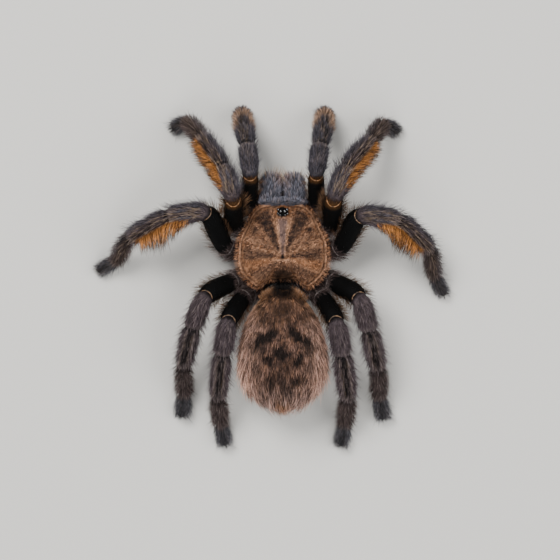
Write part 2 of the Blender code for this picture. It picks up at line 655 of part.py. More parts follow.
def largest_surface(mesh):
    """Keeps only the largest closed surface of a mesh."""
    bm = bmesh.new()
    bm.from_mesh(mesh)
    bm.faces.ensure_lookup_table()
    left, shells = set(bm.faces), []
    while left:
        stack, shell = [left.pop()], []
        while stack:
            face = stack.pop()
            shell.append(face)
            for edge in face.edges:
                for near in edge.link_faces:
                    if near in left:
                        left.remove(near)
                        stack.append(near)
        shells.append(shell)
    shells.sort(key=lambda shell: sum(face.calc_area() for face in shell))
    scraps = [face for shell in shells[:-1] for face in shell]
    bmesh.ops.delete(bm, geom=scraps, context="FACES")
    loose = [vert for vert in bm.verts if not vert.link_faces]
    bmesh.ops.delete(bm, geom=loose, context="VERTS")
    bmesh.ops.triangulate(bm, faces=bm.faces)
    bm.to_mesh(mesh)
    bm.free()


def fuse(body, meshes):
    """Joins closed meshes to a body with one Boolean union."""
    group = bpy.data.collections.new("to_fuse")
    bpy.context.scene.collection.children.link(group)
    for mesh in meshes:
        group.objects.link(bpy.data.objects.new("fused", mesh))
    union = body.modifiers.new("union", "BOOLEAN")
    union.operation = "UNION"
    union.operand_type = "COLLECTION"
    union.collection = group
    union.solver = "EXACT"
    bpy.context.view_layer.update()
    graph = bpy.context.evaluated_depsgraph_get()
    joined = bpy.data.meshes.new_from_object(body.evaluated_get(graph))
    body.modifiers.clear()
    for extra in list(group.objects):
        bpy.data.objects.remove(extra)
    bpy.data.collections.remove(group)
    look = body.data.materials[0]
    largest_surface(joined)
    joined.materials.clear()
    joined.materials.append(look)
    joined.shade_smooth()
    joined.set_sharp_from_angle(angle=SHARP)
    body.data = joined


def stand_on_origin():
    """Hangs everything on one empty, set so that the origin is below the middle."""
    empty = bpy.data.objects.new("tarantula_root", None)
    bpy.data.collections["tarantula"].objects.link(empty)
    pieces = [o for o in bpy.data.collections["tarantula"].objects if o.type == "MESH"]
    corners = [vert.co for piece in pieces for vert in piece.data.vertices]
    for axis in (0, 1):
        low = min(co[axis] for co in corners)
        high = max(co[axis] for co in corners)
        empty.location[axis] = -(low + high) / 2
    for piece in pieces:
        piece.parent = empty


def build():
    clear_scene()
    random.seed(SEED)
    collection = bpy.data.collections.new("tarantula")
    bpy.context.scene.collection.children.link(collection)
    carapace()
    eyes()
    sternum()
    pedicel()
    abdomen()
    spinnerets()
    jaws()
    fangs()
    for side in ("left", "right"):
        for pair in SEGMENTS:
            limb(pair, side)
    stand_on_origin()


build()
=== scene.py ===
"""The looks of a golden fringe tarantula: one skin under coats of fine hair, with its eyes
and fangs, on a plain pale floor below a camera that looks straight down."""

import math
from functools import partial
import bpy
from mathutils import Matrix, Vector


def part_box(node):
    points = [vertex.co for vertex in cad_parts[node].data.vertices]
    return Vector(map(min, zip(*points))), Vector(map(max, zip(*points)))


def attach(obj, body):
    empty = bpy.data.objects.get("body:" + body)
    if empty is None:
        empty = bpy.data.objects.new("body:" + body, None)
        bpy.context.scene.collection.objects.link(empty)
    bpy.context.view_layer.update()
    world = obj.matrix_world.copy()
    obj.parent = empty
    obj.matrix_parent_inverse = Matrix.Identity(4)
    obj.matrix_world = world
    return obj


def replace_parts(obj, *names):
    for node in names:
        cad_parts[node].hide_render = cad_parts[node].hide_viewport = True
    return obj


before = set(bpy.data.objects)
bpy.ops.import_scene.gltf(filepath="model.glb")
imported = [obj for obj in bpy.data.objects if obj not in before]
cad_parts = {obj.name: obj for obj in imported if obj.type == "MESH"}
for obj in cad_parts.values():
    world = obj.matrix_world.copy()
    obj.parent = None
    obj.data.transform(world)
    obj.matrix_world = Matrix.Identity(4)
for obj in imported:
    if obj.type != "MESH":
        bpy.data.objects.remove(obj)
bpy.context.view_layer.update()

from types import SimpleNamespace

import bpy
import numpy as np
from mathutils import Vector
from mathutils.kdtree import KDTree

bl_info = {
    "name": "Golden fringe tarantula",
    "version": (1, 0, 0),
    "blender": (4, 5, 0),
    "location": "View3D > Sidebar > Tarantula",
    "description": "Makes the skin, hair, eyes and fangs of a life-size tarantula",
    "category": "Object",
}

MM = 0.001
PER_MM = 1000.0                         # turns a number per millimetre into one per metre

# The solids' own sizes, in millimetres and degrees, as in the part's source. A pair is across
# and along, and a Y runs backwards from the middle of the legs' ring
CARAPACE_MIDDLE, CARAPACE_LENGTH = -0.8, 22.4
CARAPACE_UNDERSIDE, CARAPACE_RIM, CARAPACE_RISE = 9.15, 0.9, 3.8
HEAD_RISE, HEAD_Y, HEAD_SPREAD = 0.7, -6.2, (4.4, 4.2)
FOVEA_Y, FOVEA_DEPTH, FOVEA_SPREAD = 1.8, 0.9, (1.3, 0.9)
GROOVES, GROOVE_DEPTH, GROOVE_WIDTH = (38, 74, 104, 136), 0.3, 7.0
# Degrees from straight ahead, and the radius there over half the length
CARAPACE_OUTLINE = ((0, 1.0), (30, 1.1), (62, 0.99), (90, 1.04), (122, 1.15),
                    (146, 1.13), (160, 0.8), (180, 0.75))
EYE_HILL, EYE_HILL_SIZE, EYE_HILL_SUNK = (0.0, -9.9), (1.75, 1.45, 1.75), 0.2
# Each eye's place across and along, and half its width and length
EYES = (("front_middle", 0.52, -10.0, 0.36, 0.36), ("front_side", 1.16, -10.5, 0.3, 0.42),
        ("rear_side", 1.2, -9.45, 0.24, 0.34), ("rear_middle", 0.62, -9.1, 0.2, 0.24))
STERNUM_SIZE, STERNUM_BOTTOM = (5.0, 6.6), 3.5
PEDICEL_RADIUS, PEDICEL_Z = 1.3, 7.0
ABDOMEN_WIDEST_Y, ABDOMEN_FRONT, ABDOMEN_REAR = 29.6, 19.4, 11.4
ABDOMEN_HALF_WIDTH, ABDOMEN_HALF_HEIGHT, ABDOMEN_MIDDLE_Z = 11.3, 9.0, 11.3
# Each pair's place across and height, the lengths of its joints and its radii
SPINNERETS = ((2.4, 5.0, (1.0, 1.7, 1.5), (0.8, 0.85, 0.7, 0.3)),
              (0.8, 4.6, (0.5, 0.6), (0.42, 0.42, 0.25)))
SPINNERET_GAP = 0.42
JAW_X, JAW_BACK, JAW_FRONT, JAW_MIDDLE_Z, JAW_RADIUS = 3.25, -12.5, -19.4, 8.2, 3.1
JAW_HEIGHT_SHARE, JAW_RAISED, JAW_DROOP, JAW_INWARD = 1.22, 0.7, 1.5, 0.5
JAW_TAPER, JAW_END, JAW_CLOSES = 0.16, 0.62, 0.66
FACE_BACK, FACE_SIZE = -0.1, (6.6, 0.8, 4.6)
FANG_RADIUS, FANG_PLACE, FANG_REACH, FANG_DROP = 0.85, 0.84, 4.3, 1.3
FANG_TURN, FANG_TIP, FANG_GAP = 105, 0.12, 0.5
COXA_RADII = (1.25, 1.9, 2.1)
# Each segment from femur to tarsus: its length, and its radii at its start, middle and end
SEGMENTS = {
    "palp": ((12.0, (2.1, 2.3, 2.2)), (8.8, (2.1, 2.45, 2.3)), (9.0, (2.25, 2.3, 2.1)),
             (7.6, (2.0, 2.0, 1.7))),
    "leg_1": ((15.2, (2.25, 2.6, 2.45)), (9.4, (2.3, 2.6, 2.4)), (11.2, (2.35, 2.4, 2.0)),
              (9.6, (1.8, 1.75, 1.65)), (6.0, (1.6, 1.8, 1.6))),
    "leg_2": ((14.6, (2.25, 2.75, 2.5)), (10.8, (2.3, 2.6, 2.4)), (12.4, (2.3, 2.35, 1.95)),
              (10.4, (1.75, 1.7, 1.6)), (6.2, (1.55, 1.75, 1.55))),
    "leg_3": ((12.2, (2.2, 2.8, 2.5)), (9.4, (2.25, 2.45, 2.3)), (11.4, (2.2, 2.25, 1.95)),
              (10.6, (1.8, 1.75, 1.7)), (6.4, (1.65, 2.0, 1.8))),
    "leg_4": ((14.2, (2.15, 2.6, 2.4)), (9.6, (2.25, 2.45, 2.3)), (12.8, (2.2, 2.25, 1.95)),
              (10.8, (1.8, 1.75, 1.7)), (6.2, (1.65, 1.95, 1.75))),
}
FRONT_PAIRS, REAR_PAIRS = ("leg_1", "leg_2"), ("leg_3", "leg_4")
SIGNS = {"left": 1, "right": -1}        # the side of the body that X points to is its left
# Where each limb leaves the sternum, in degrees from straight ahead, and where its hip is
COXA_TURN = {"palp": 23, "leg_1": 57, "leg_2": 91, "leg_3": 125, "leg_4": 156}
COXA_OFF = 0.75
HIP = {"palp": (9.0, -10.9), "leg_1": (12.7, -6.1), "leg_2": (14.9, 0.2),
       "leg_3": (13.0, 8.1), "leg_4": (10.4, 12.2)}
COXA_Z, HIP_Z = 5.8, 6.6
# How steeply the first segments rise, in degrees; the next one comes down to the foot's height
RISE = {"palp": (47, -15), "leg_1": (63, -20, -30), "leg_2_left": (40, -14, -13),
        "leg_2_right": (44, -6, -26), "leg_3": (50, -9, -27), "leg_4": (61, -21, -24)}
FOOT_Z = {"palp": 7.0, "leg_1": 4.2, "leg_2": 2.9, "leg_3": 2.3, "leg_4": 2.4}
FLAT_DEPTH = 0.16                       # how much of a foot its flat underside cuts away
# Where each segment points, seen from above, in degrees outwards from straight ahead
HEADING = {
    "palp_left": (-5, 6, 11, 8), "palp_right": (-3, 8, 11, 3),
    "leg_1_left": (-1, 20, 35, 38, 118), "leg_1_right": (2, 24, 41, 34, 120),
    "leg_2_left": (23, 97, 118, 149, 116), "leg_2_right": (26, 98, 131, 169, 149),
    "leg_3_left": (116, 158, 166, 179, 175), "leg_3_right": (119, 164, 166, 175, 168),
    "leg_4_left": (148, 170, 173, 185, 191), "leg_4_right": (151, 169, 172, 185, 190),
}
BEND, CORNER_SHARE, FOOT_CLOSES = 3.4, 0.42, 0.62

# The part stands with the middle of its box over the origin, so its tables are shifted
SHIELD_LOW, SHIELD_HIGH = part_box("carapace")
SHIFT = np.array((SHIELD_LOW.x + SHIELD_HIGH.x, 2 * SHIELD_LOW.y, 0)) / 2 - np.array(
    (0, CARAPACE_MIDDLE - CARAPACE_LENGTH / 2 * CARAPACE_OUTLINE[0][1], 0)) * MM

# The photo is 560 pixels wide, each 0.26 mm, and its middle shows this place in the tables
PHOTO_WIDTH, VIEW_MIDDLE = 560 * 0.26, (0.702, 7.8, 12.0)
SENSOR_WIDTH = 36
FLOOR_REACH = 3.0
# Each soft lamp's place and width in metres, and its power in watts
LAMPS = {"key": ((0.35, -0.45, 0.75), 0.45, 11.0), "fill": ((-0.6, 0.1, 0.6), 0.7, 5.0),
         "back": ((0.1, 0.7, 0.6), 0.6, 4.0)}

# How finely the forms are drawn
LIMB_STEP, LIMB_SIDES, CORNER_STEPS = 0.4, 96, 16
SHIELD_ROWS, SHIELD_SIDES = 90, 300
ABDOMEN_ROWS, ABDOMEN_SIDES = 90, 110
JAW_ROWS, JAW_SIDES = 36, 40
FANG_STEPS, FANG_ROOT = 12, 1.2         # the root is inside the jaw
NECK_DEPTH, NECK_WIDTH = 0.32, 0.5      # the groove round each joint
JAW_ROUND = 0.05                        # how much of the jaw its round back end takes
JAW_CORNER = 0.9                        # how far its rear corner reaches round the carapace

# Bands of the carapace: degrees from straight ahead round the fovea, half width, and strength,
# which is below 0 where the band is pale
SHIELD_BANDS = ((26, 6, 0.95), (52, 5, 0.4), (85, 6, 0.75), (105, 4, -0.6),
                (130, 8, 0.55), (168, 12, 0.5))
# Pairs of spots on the abdomen: place across and along, and strength
ABDOMEN_SPOTS = ((7.9, 25.8, 0.7), (3.9, 29.0, 1.0), (3.1, 34.1, 0.9), (7.0, 30.5, 0.6))

# A place along a limb counts its segments, from the coxa's start at 0, with the share of the
# segment reached. A place round it is in degrees over the top from its rear side

# The short fur by segment, from coxa to tarsus: its length over the leg fur's, and how far
# it stands off the leg
FUR_LONG = (1.7, 0.42, 0.9, 1.0, 1.2, 0.85)
FUR_LIFT = (0.7, 0.3, 0.55, 0.7, 0.95, 1.1)
PALP_FUR_LONG = (1.5, 0.42, 0.75, 0.85, 0.65)
PALP_FUR_LIFT = (0.7, 0.3, 0.5, 0.65, 1.3)
# How much shorter the fur is just before each joint, so that the joint shows
JOINT_SHORT = {3: 0.6, 4: 0.25, 5: 0.25}
# Fine lines along patella and tibia: place round the limb, tone, strength and half width
FRONT_LINES = (
    (52, "streak", 0.7, 1.5), (68, "streak", 0.5, 1.5), (86, "streak", 0.75, 1.5),
    (107, "streak", 0.5, 1.5), (60, "stripe", 0.8, 4), (77, "stripe", 0.85, 5),
    (97, "stripe", 0.8, 5))
REAR_LINES = ((90, "stripe", 1.0, 19), (55, "hip_hair", 0.5, 7), (66, "streak", 0.3, 1.5),
              (125, "hip_hair", 0.5, 7), (114, "streak", 0.3, 1.5))
# Where lines of long pale hairs lie
FRONT_HAIRS, REAR_HAIRS, FOOT_HAIRS = (52, 67, 86, 106), (60, 90, 118), (80, 100)
# Fine streaks in the fur run along the limb: millimetres in a degree round it, and how much
# shorter they are drawn than they are
STREAK_ACROSS, STREAK_ALONG = 0.042, 0.11
# The bare rim at the end of a femur: its place along the limb, its radius in millimetres, half
# its arc in degrees, and how far its top is drawn back towards the body
RIM_PLACE, RIM_RADIUS, RIM_HALF_TURN = 2.0, 0.115, 78
RIM_TILT = {"palp": 0.06, "leg_1": 0.07, "leg_2": 0.03, "leg_3": 0.035, "leg_4": 0.04}
# The rims at a hip: their place along the limb, and how far the top is drawn back
HIP_RIMS = ((0.8, 0.1), (1.04, 0.02))
# Where along the limb the golden fringe starts and ends
GOLD_SPAN = {"leg_1": (2.2, 3.97), "leg_2": (2.36, 3.82)}

# What the hair reads at each point of a form: the kind of attribute, and its field
POINT_VALUES = {"lie": ("FLOAT_VECTOR", "vector"), "patch": ("FLOAT_VECTOR", "vector"),
                "coat": ("FLOAT_COLOR", "color"), "long": ("FLOAT", "value"),
                "density": ("FLOAT", "value")}
# The inputs of a coat of hair: their kinds and usual values. Density is in tufts per square
# metre, and Sway Size and Lock Size are scales of noise, in waves per metre
HAIR_INPUTS = {
    "Geometry": ("Geometry", None), "Material": ("Material", None), "Seed": ("Int", 0),
    "Density": ("Float", 1e7), "Length": ("Float", 1.0 * MM), "Width": ("Float", 0.1 * MM),
    "Thickness": ("Float", 0.06 * MM), "Bends": ("Int", 2), "Curl": ("Float", 0.1),
    "Lift": ("Float", 0.0), "Spread": ("Float", 0.3), "Sway": ("Float", 0.3),
    "Sway Size": ("Float", 300.0), "Chance": ("Float", 0.22), "Lock Size": ("Float", 2500.0),
    "Ragged": ("Float", 0.0),
}
TUFT_PATCH = 0.003                      # the share of the unwrap that one tuft takes
TUFT_SUNK, FLOOR_GAP = 0.15, 0.02       # how deep a tuft's root is, and its gap to the floor


def linear(code):
    """A colour given as sRGB hex, as linear red, green and blue."""
    shares = [int(code[place:place + 2], 16) / 255 for place in (0, 2, 4)]
    return tuple(c / 12.92 if c <= 0.04045 else ((c + 0.055) / 1.055) ** 2.4 for c in shares)


def colour(name, code, description):
    """A colour in the panel, given as sRGB hex."""
    return bpy.props.FloatVectorProperty(name=name, description=description, size=3,
                                         subtype="COLOR", min=0, max=1, default=linear(code))


def length(name, millimetres, description):
    """A length in the panel, given in millimetres."""
    return bpy.props.FloatProperty(name=name, description=description, unit="LENGTH",
                                   subtype="DISTANCE", min=0, default=millimetres * MM)


class TarantulaSizes(bpy.types.PropertyGroup):
    """How long each coat's hair is, how fine the skin is and how high the camera stands"""
    skin_grain: length("Skin detail", 0.4, "Size of the skin's faces")
    skin_depth: length("Coat depth", 0.12, "How far the skin lies inside the solids")
    shield_hair: length("Shield hair", 0.8, "Length of the hair on the carapace")
    rim_hair: length("Rim hair", 1.5, "Length of the hair round the carapace's edge")
    abdomen_fur: length("Abdomen fur", 2.0, "Length of the short fur on the abdomen")
    abdomen_hair: length("Abdomen hair", 4.6, "Length of the long hair on the abdomen")
    leg_fur: length("Leg fur", 1.95, "Length of the short fur on the legs")
    leg_hair: length("Leg hair", 3.3, "Length of the long hair on the legs")
    fringe_1: length("First fringe", 3.3, "Length of the golden fringe of the first legs")
    fringe_2: length("Second fringe", 5.2, "Length of the golden fringe of the second legs")
    jaw_fur: length("Jaw fur", 1.5, "Length of the velvet on the jaws")
    jaw_bristle: length("Jaw bristles", 3.0, "Length of the bristles at the jaws' front")
    camera_height: length("Camera height", 550, "Height of the camera above the back")


class TarantulaColours(bpy.types.PropertyGroup):
    """What the coats and skin are painted with"""
    shield: colour("Shield", "9e6a47", "Copper-brown hair of the carapace")
    shield_band: colour("Shield bands", "281e1c", "Dark bands that run out from the fovea")
    shield_stripe: colour("Shield stripe", "6e5a56", "Mauve stripe from the eyes backwards")
    rim: colour("Rim", "c49474", "Pale copper hair of the carapace's edge")
    abdomen: colour("Abdomen", "98786a", "Copper hair of the abdomen")
    abdomen_top: colour("Abdomen top", "684c40", "Browner hair along the top")
    abdomen_front: colour("Abdomen front", "836044", "Yellow-brown hair of the front end")
    abdomen_rear: colour("Abdomen rear", "8c7268", "Duller hair of the rear end")
    abdomen_mark: colour("Abdomen marks", "0e0a09", "Dark marks of the abdomen")
    hip: colour("Hips", "382e2c", "Dark hair of the coxae")
    hip_hair: colour("Hip hair", "7a6c68", "Long mauve-grey hair of the coxae")
    femur: colour("Femur", "060606", "Near-black hair of the femora")
    leg: colour("Leg", "504548", "Grey-brown hair of the outer legs")
    palp: colour("Palp", "48444a", "Grey hair of the palps")
    palp_tip: colour("Palp tip", "a8866c", "Golden-brown hair of the palps' ends")
    brush: colour("Brush", "4c403e", "Dark brush of the metatarsi")
    pad: colour("Foot pad", "545256", "Blue-grey velvet of the feet")
    streak: colour("Streaks", "96806a", "Cream lines along the legs")
    stripe: colour("Stripes", "161212", "Dark lines along the tibiae")
    ring: colour("Rings", "98683c", "Pale rings at the ends of the femora")
    gold: colour("Gold", "c08044", "Golden fringe of the front legs")
    jaw: colour("Jaws", "62626c", "Blue-grey velvet of the jaws")
    bristle: colour("Bristles", "8a6456", "Rusty bristles at the front of the jaws")


# The forms of the body, each a grid of places that runs with the lie of its hair


def unit(vectors):
    """Vectors of length one."""
    return vectors / np.maximum(np.linalg.norm(vectors, axis=-1, keepdims=True), 1e-9)


def mix(first, second, share):
    """Blends colours by a share that varies over a form."""
    first, second = np.array(first), np.array(second)
    return first + (second - first) * np.clip(share, 0, 1)[..., None]


def ramp(value, low, high):
    """Rises smoothly from 0 at low to 1 at high."""
    share = np.clip((value - low) / (high - low), 0, 1)
    return share * share * (3 - 2 * share)


def band(value, middle, half, soft):
    """1 within half of the middle, falling to 0 over a soft edge."""
    return 1 - ramp(np.abs(value - middle), half, half + soft)


def mottle(x, y, size, seed):
    """Soft blotches between 0 and 1, about a size across."""
    chance = np.random.default_rng(seed)
    waves = 0
    for turn, phase, share in zip(*chance.uniform((0, 0, 0.6), (np.pi, 2 * np.pi, 1.7), (9, 3)).T):
        across = x * np.cos(turn) + y * np.sin(turn)
        waves = waves + np.sin(np.pi * across * share / size + phase)
    return 0.5 + 0.5 * np.tanh(0.6 * waves)


def by_segment(progress, values):
    """A value for each segment of a limb, blended at the joints."""
    result = np.full_like(progress, values[0])
    for number, value in enumerate(values[1:], start=1):
        result += (value - values[number - 1]) * ramp(progress, number - 0.06, number + 0.08)
    return result


def wander(steps, period, seed):
    """A smooth value between 0 and 1 that wanders along the steps."""
    phases = np.random.default_rng(seed).uniform(0, 2 * np.pi, 4)
    waves = [np.sin(2 * np.pi * steps / (period * k) + phase)
             for k, phase in zip((1.0, 0.63, 0.41, 0.27), phases)]
    return 0.5 + 0.5 * np.tanh(0.8 * sum(waves))


def new_form(place, coat, **more):
    """A form: places in millimetres by row and column, and the colour of its hair."""
    shape = place.shape[:2]
    full = {"long": 1.0, "density": 1.0, "lie": unit(np.gradient(place, axis=0))}
    full.update(more)
    for name in ("long", "density"):
        full[name] = np.broadcast_to(full[name], shape)
    full["lie"] = np.broadcast_to(full["lie"], (*shape, 3))
    return SimpleNamespace(place=place, coat=np.broadcast_to(coat, (*shape, 3)), **full)


def changed(form, **more):
    """A copy of a form with something about its hair changed."""
    return SimpleNamespace(**{**vars(form), **more})


def places_at(form, progress):
    """Places on a limb's form, one in each column, at the given segment and share."""
    steps = np.arange(len(form.progress))
    at = np.interp(progress, form.progress[:, 0], steps)
    first = np.minimum(at.astype(int), len(steps) - 2)
    column = np.arange(form.place.shape[1])
    share = (at - first)[:, None]
    return form.place[first, column] * (1 - share) + form.place[first + 1, column] * share


def outline_radius(angle):
    """Radius of the carapace's outline at angles from straight ahead."""
    stops, sizes = np.array(CARAPACE_OUTLINE).T
    first = np.clip(np.searchsorted(stops, angle) - 1, 0, len(stops) - 2)
    share = (angle - stops[first]) / (stops[first + 1] - stops[first])
    blend = (1 - np.cos(np.pi * share)) / 2
    return (sizes[first] + (sizes[first + 1] - sizes[first]) * blend) * CARAPACE_LENGTH / 2


def shield_height(x, y):
    """Height of the carapace's upper face."""
    along = y - CARAPACE_MIDDLE
    angle = np.degrees(np.arctan2(np.abs(x), -along))
    share = np.minimum(np.hypot(x, along) / outline_radius(angle), 1.0)
    height = CARAPACE_UNDERSIDE + CARAPACE_RIM + CARAPACE_RISE * (1 - share ** 2.4) ** 0.75
    wide, long = HEAD_SPREAD
    height = height + HEAD_RISE * np.exp(-(x / wide) ** 2 - ((y - HEAD_Y) / long) ** 2)
    wide, long = FOVEA_SPREAD
    height = height - FOVEA_DEPTH * np.exp(-(x / wide) ** 2 - ((y - FOVEA_Y) / long) ** 2)
    for groove in GROOVES:
        height = height - GROOVE_DEPTH * np.sin(np.pi * share) * np.exp(
            -((angle - groove) / GROOVE_WIDTH) ** 2)
    return height


def painted(coat, layers):
    """A coat with colours laid over it in turn, each by its own share."""
    for tone, share in layers:
        coat = mix(coat, tone, share)
    return coat


def shield_coat(x, y, share, colours):
    """Markings of the carapace: dark bands out from the fovea and a pale stripe in front."""
    side = np.abs(x)
    turn = np.degrees(np.arctan2(side, FOVEA_Y - y))
    reach = np.hypot(x, y - FOVEA_Y)
    inside = 1 - ramp(share, 0.8, 0.95)
    fade = ramp(reach, 0.4, 2.2) * inside
    worn = 0.7 + 0.3 * mottle(x, y, 0.9, 4)
    rays = mottle(turn * np.sign(x + 1e-6), reach * 0.6, 3.0, 3)
    layers = [
        (colours.shield_band, 0.42 * (1 - ramp(-y, 5.0, 8.5) * 0.3) * inside),
        (colours.shield_band, 0.75 * (1 - ramp(mottle(x, y, 0.3, 8), 0.15, 0.7))),
        (colours.rim, 0.6 * ramp(mottle(x, y, 0.34, 9), 0.6, 0.95)),
        (colours.rim, 0.4 * ramp(rays, 0.55, 0.95) * ramp(reach, 0.4, 2.2))]
    for middle, half, strength in SHIELD_BANDS:
        tone = colours.shield_band if strength > 0 else colours.shield
        layers.append((tone, abs(strength) * worn * fade * band(turn, middle, half, 9)))
    # A mauve stripe narrows from the eyes to the fovea, with a pale edge and a dark middle
    ahead = (y < FOVEA_Y - 0.2) * (1 - ramp(-y, 7.4, 9.0))
    narrow = 0.1 + 0.095 * np.maximum(FOVEA_Y - y, 0)
    layers += [
        (colours.rim, 0.75 * ahead * band(side, narrow + 0.32, 0.1, 0.28) * worn),
        (colours.shield_stripe, 0.8 * ahead * band(side, 0, narrow, 0.3)),
        (colours.shield_band, 0.6 * ahead * band(side, 0, 0.04, 0.2)),
        (colours.rim, band(y, FOVEA_Y + 0.95, 0.1, 0.3) * band(x, 0, 0.9, 3.2))]
    # A dark furrow and a pale line run round the edge, and the fovea is a dark dimple
    layers += [
        (colours.shield_band, 0.6 * band(share, 0.93, 0.008, 0.012)),
        (colours.rim, (0.6 + 0.4 * mottle(x, y, 0.8, 10)) * band(share, 0.965, 0.008, 0.01)),
        (colours.abdomen_mark, band(reach, 0, 0.35, 0.5))]
    for across, along in ((4.4, -7.1), (7.0, -5.4)):
        spot = band(np.hypot(side - across, y - along), 0, 0.35, 0.7)
        layers.append((colours.shield_band, 0.8 * spot))
    layers.append((colours.abdomen_mark, 0.8 * band(x, 0, 1.4, 2.4) * band(y, 7.4, 1.4, 2.2)))
    return painted(colours.shield, layers)


def shield(sizes, colours):
    """The carapace: its domed upper face, its edge and its flat underside."""
    inset = sizes.skin_depth / MM
    top = np.sin(np.linspace(0, np.pi / 2, SHIELD_ROWS))
    under = np.linspace(1, 0, SHIELD_ROWS // 4)
    reach = np.concatenate([top, under])[:, None]
    angle = np.radians(np.linspace(-180, 180, SHIELD_SIDES + 1))[None]
    radius = outline_radius(np.degrees(np.abs(angle)))
    whole = radius * reach
    x, y = whole * np.sin(angle), CARAPACE_MIDDLE - whole * np.cos(angle)
    z = shield_height(x, y) - inset
    z[SHIELD_ROWS:] = CARAPACE_UNDERSIDE + inset
    shrunk = (radius - inset) / radius
    place = np.stack([x * shrunk, CARAPACE_MIDDLE + (y - CARAPACE_MIDDLE) * shrunk, z], -1)
    share = np.broadcast_to(reach, x.shape)
    upper = np.broadcast_to((np.arange(len(reach)) < SHIELD_ROWS)[:, None], x.shape)
    hill = np.hypot((x - EYE_HILL[0]) / EYE_HILL_SIZE[0], (y - EYE_HILL[1]) / EYE_HILL_SIZE[1])
    furrow = band(share, 0.93, 0.006, 0.01)
    long = 0.9 - 0.45 * band(share, 0.9, 0.03, 0.05)
    along = unit(np.stack([-y, x, 0 * x], -1)) * np.sign(-x)[..., None]
    edge = ramp(share, 0.94, 0.95)[..., None]
    lie = unit(unit(np.gradient(place, axis=0)) * (1 - 0.6 * edge) + along * edge)
    return new_form(place, shield_coat(x, y, share, colours), share=share, lie=lie, long=long,
                    density=upper * ramp(hill, 0.8, 1.0) * (1 - 0.5 * furrow))


def abdomen_place(across, along, upwards, inset=0.0):
    """A place on the abdomen, given as one on a ball of radius 1."""
    reach = np.where(along < 0, ABDOMEN_FRONT, ABDOMEN_REAR) - inset
    return np.stack([across * (ABDOMEN_HALF_WIDTH - inset), ABDOMEN_WIDEST_Y + along * reach,
                     ABDOMEN_MIDDLE_Z + upwards * (ABDOMEN_HALF_HEIGHT - inset)], -1)


def abdomen_marks(x, y, z):
    """How dark the abdomen's marks are: a dark front end, slanting bars and pairs of spots."""
    side = np.abs(x)
    x, y = x + 0.9 * (mottle(x, y, 1.6, 5) - 0.5), y + 0.9 * (mottle(x, y, 1.6, 6) - 0.5)
    slant = y - 22.1 - 0.55 * (side - 2.0)
    marks = [
        band(np.hypot(x, (y - 10.4) / 1.4), 0, 1.5, 1.6),
        0.75 * band(np.hypot(x / 1.4, y - 16.2), 0, 1.0, 2.4),
        0.7 * band(side, 4.6, 0.8, 1.8) * band(y, 18.4, 0.8, 1.6),
        band(slant, 0, 0.9, 1.0) * band(side, 4.3, 2.5, 1.2),
        band(np.hypot((x - 0.5) / 1.6, (y - 27.2) / 1.3), 0, 0.9, 1.1),
        0.75 * band(x, 0, 0.5, 1.3) * band(y, 33.4, 3.6, 2.0),
        0.75 * ramp(mottle(x, y, 1.5, 7), 0.45, 0.9) * band(side, 0, 6, 4)]
    for across, along, strength in ABDOMEN_SPOTS:
        aslant = y - along + 0.6 * (side - across)
        marks.append(strength * band(np.hypot(side - across, aslant / 0.9), 0, 0.9, 1.2))
    above = ramp(z, ABDOMEN_MIDDLE_Z, ABDOMEN_MIDDLE_Z + 3)
    underside = 0.65 * (1 - ramp(z, 5.0, 11.5))
    return np.maximum(0.95 * np.maximum.reduce(marks) * above, underside)


def abdomen_coat(x, y, z, dark, colours):
    """Markings of the abdomen over its ground of yellow-brown, copper and duller hair."""
    gold = np.array(colours.gold)
    return painted(colours.abdomen, [
        (colours.abdomen_front, 1 - ramp(y + 0.5 * np.abs(x), 15.0, 25.0)),
        (colours.abdomen_top, 0.75 * band(x, 0, 3.5, 5.0) * ramp(z, 10.0, 17.0)),
        (colours.abdomen_rear, ramp(y, 33.0, 40.0)),
        (gold * 0.7, 0.2 * ramp(mottle(x, y / 3, 0.45, 41), 0.6, 1.0)),
        (colours.abdomen_mark, dark),
        (gold * 0.4, 0.6 * band(x, 0, 1.2, 2.0) * ramp(y, 38.4, 40.4))])


def abdomen(sizes, colours):
    """The abdomen, whose fur is marked at its roots and whose long hair where its tips lie."""
    turn = np.linspace(0, np.pi, ABDOMEN_ROWS)[:, None]
    around = np.linspace(-np.pi, np.pi, ABDOMEN_SIDES + 1)[None]
    across, upwards = np.sin(turn) * np.sin(around), np.sin(turn) * np.cos(around)
    along = np.broadcast_to(-np.cos(turn), across.shape)
    place = abdomen_place(across, along, upwards, sizes.skin_depth / MM)
    x, y, z = np.moveaxis(place, -1, 0)
    # Hair that lies backwards carries each mark past its root, so the marks start further ahead
    dark = abdomen_marks(x, y + 0.8, z)
    far = abdomen_marks(x, y + 1.4, z)
    out = unit((place - np.array((0, ABDOMEN_WIDEST_Y, ABDOMEN_MIDDLE_Z)))
               / np.array((ABDOMEN_HALF_WIDTH, ABDOMEN_FRONT, ABDOMEN_HALF_HEIGHT)) ** 2)
    return new_form(place, abdomen_coat(x, y, z, dark, colours), along=along, far=far, out=out,
                    far_coat=abdomen_coat(x, y + 1.4, z, far, colours),
                    long=0.55 + 0.45 * ramp(along, -0.9, 0.5))


def velvet_coat(coat, place, colours):
    """Fine dark and tan lines in the velvet of the jaws and face."""
    lines = mottle(place[..., 0], place[..., 1] / 6, 0.22, 32)
    coat = mix(coat, colours.palp_tip, 0.22 * ramp(lines, 0.7, 1.0))
    return mix(coat, colours.stripe, 0.5 * (1 - ramp(lines, 0.0, 0.35)))


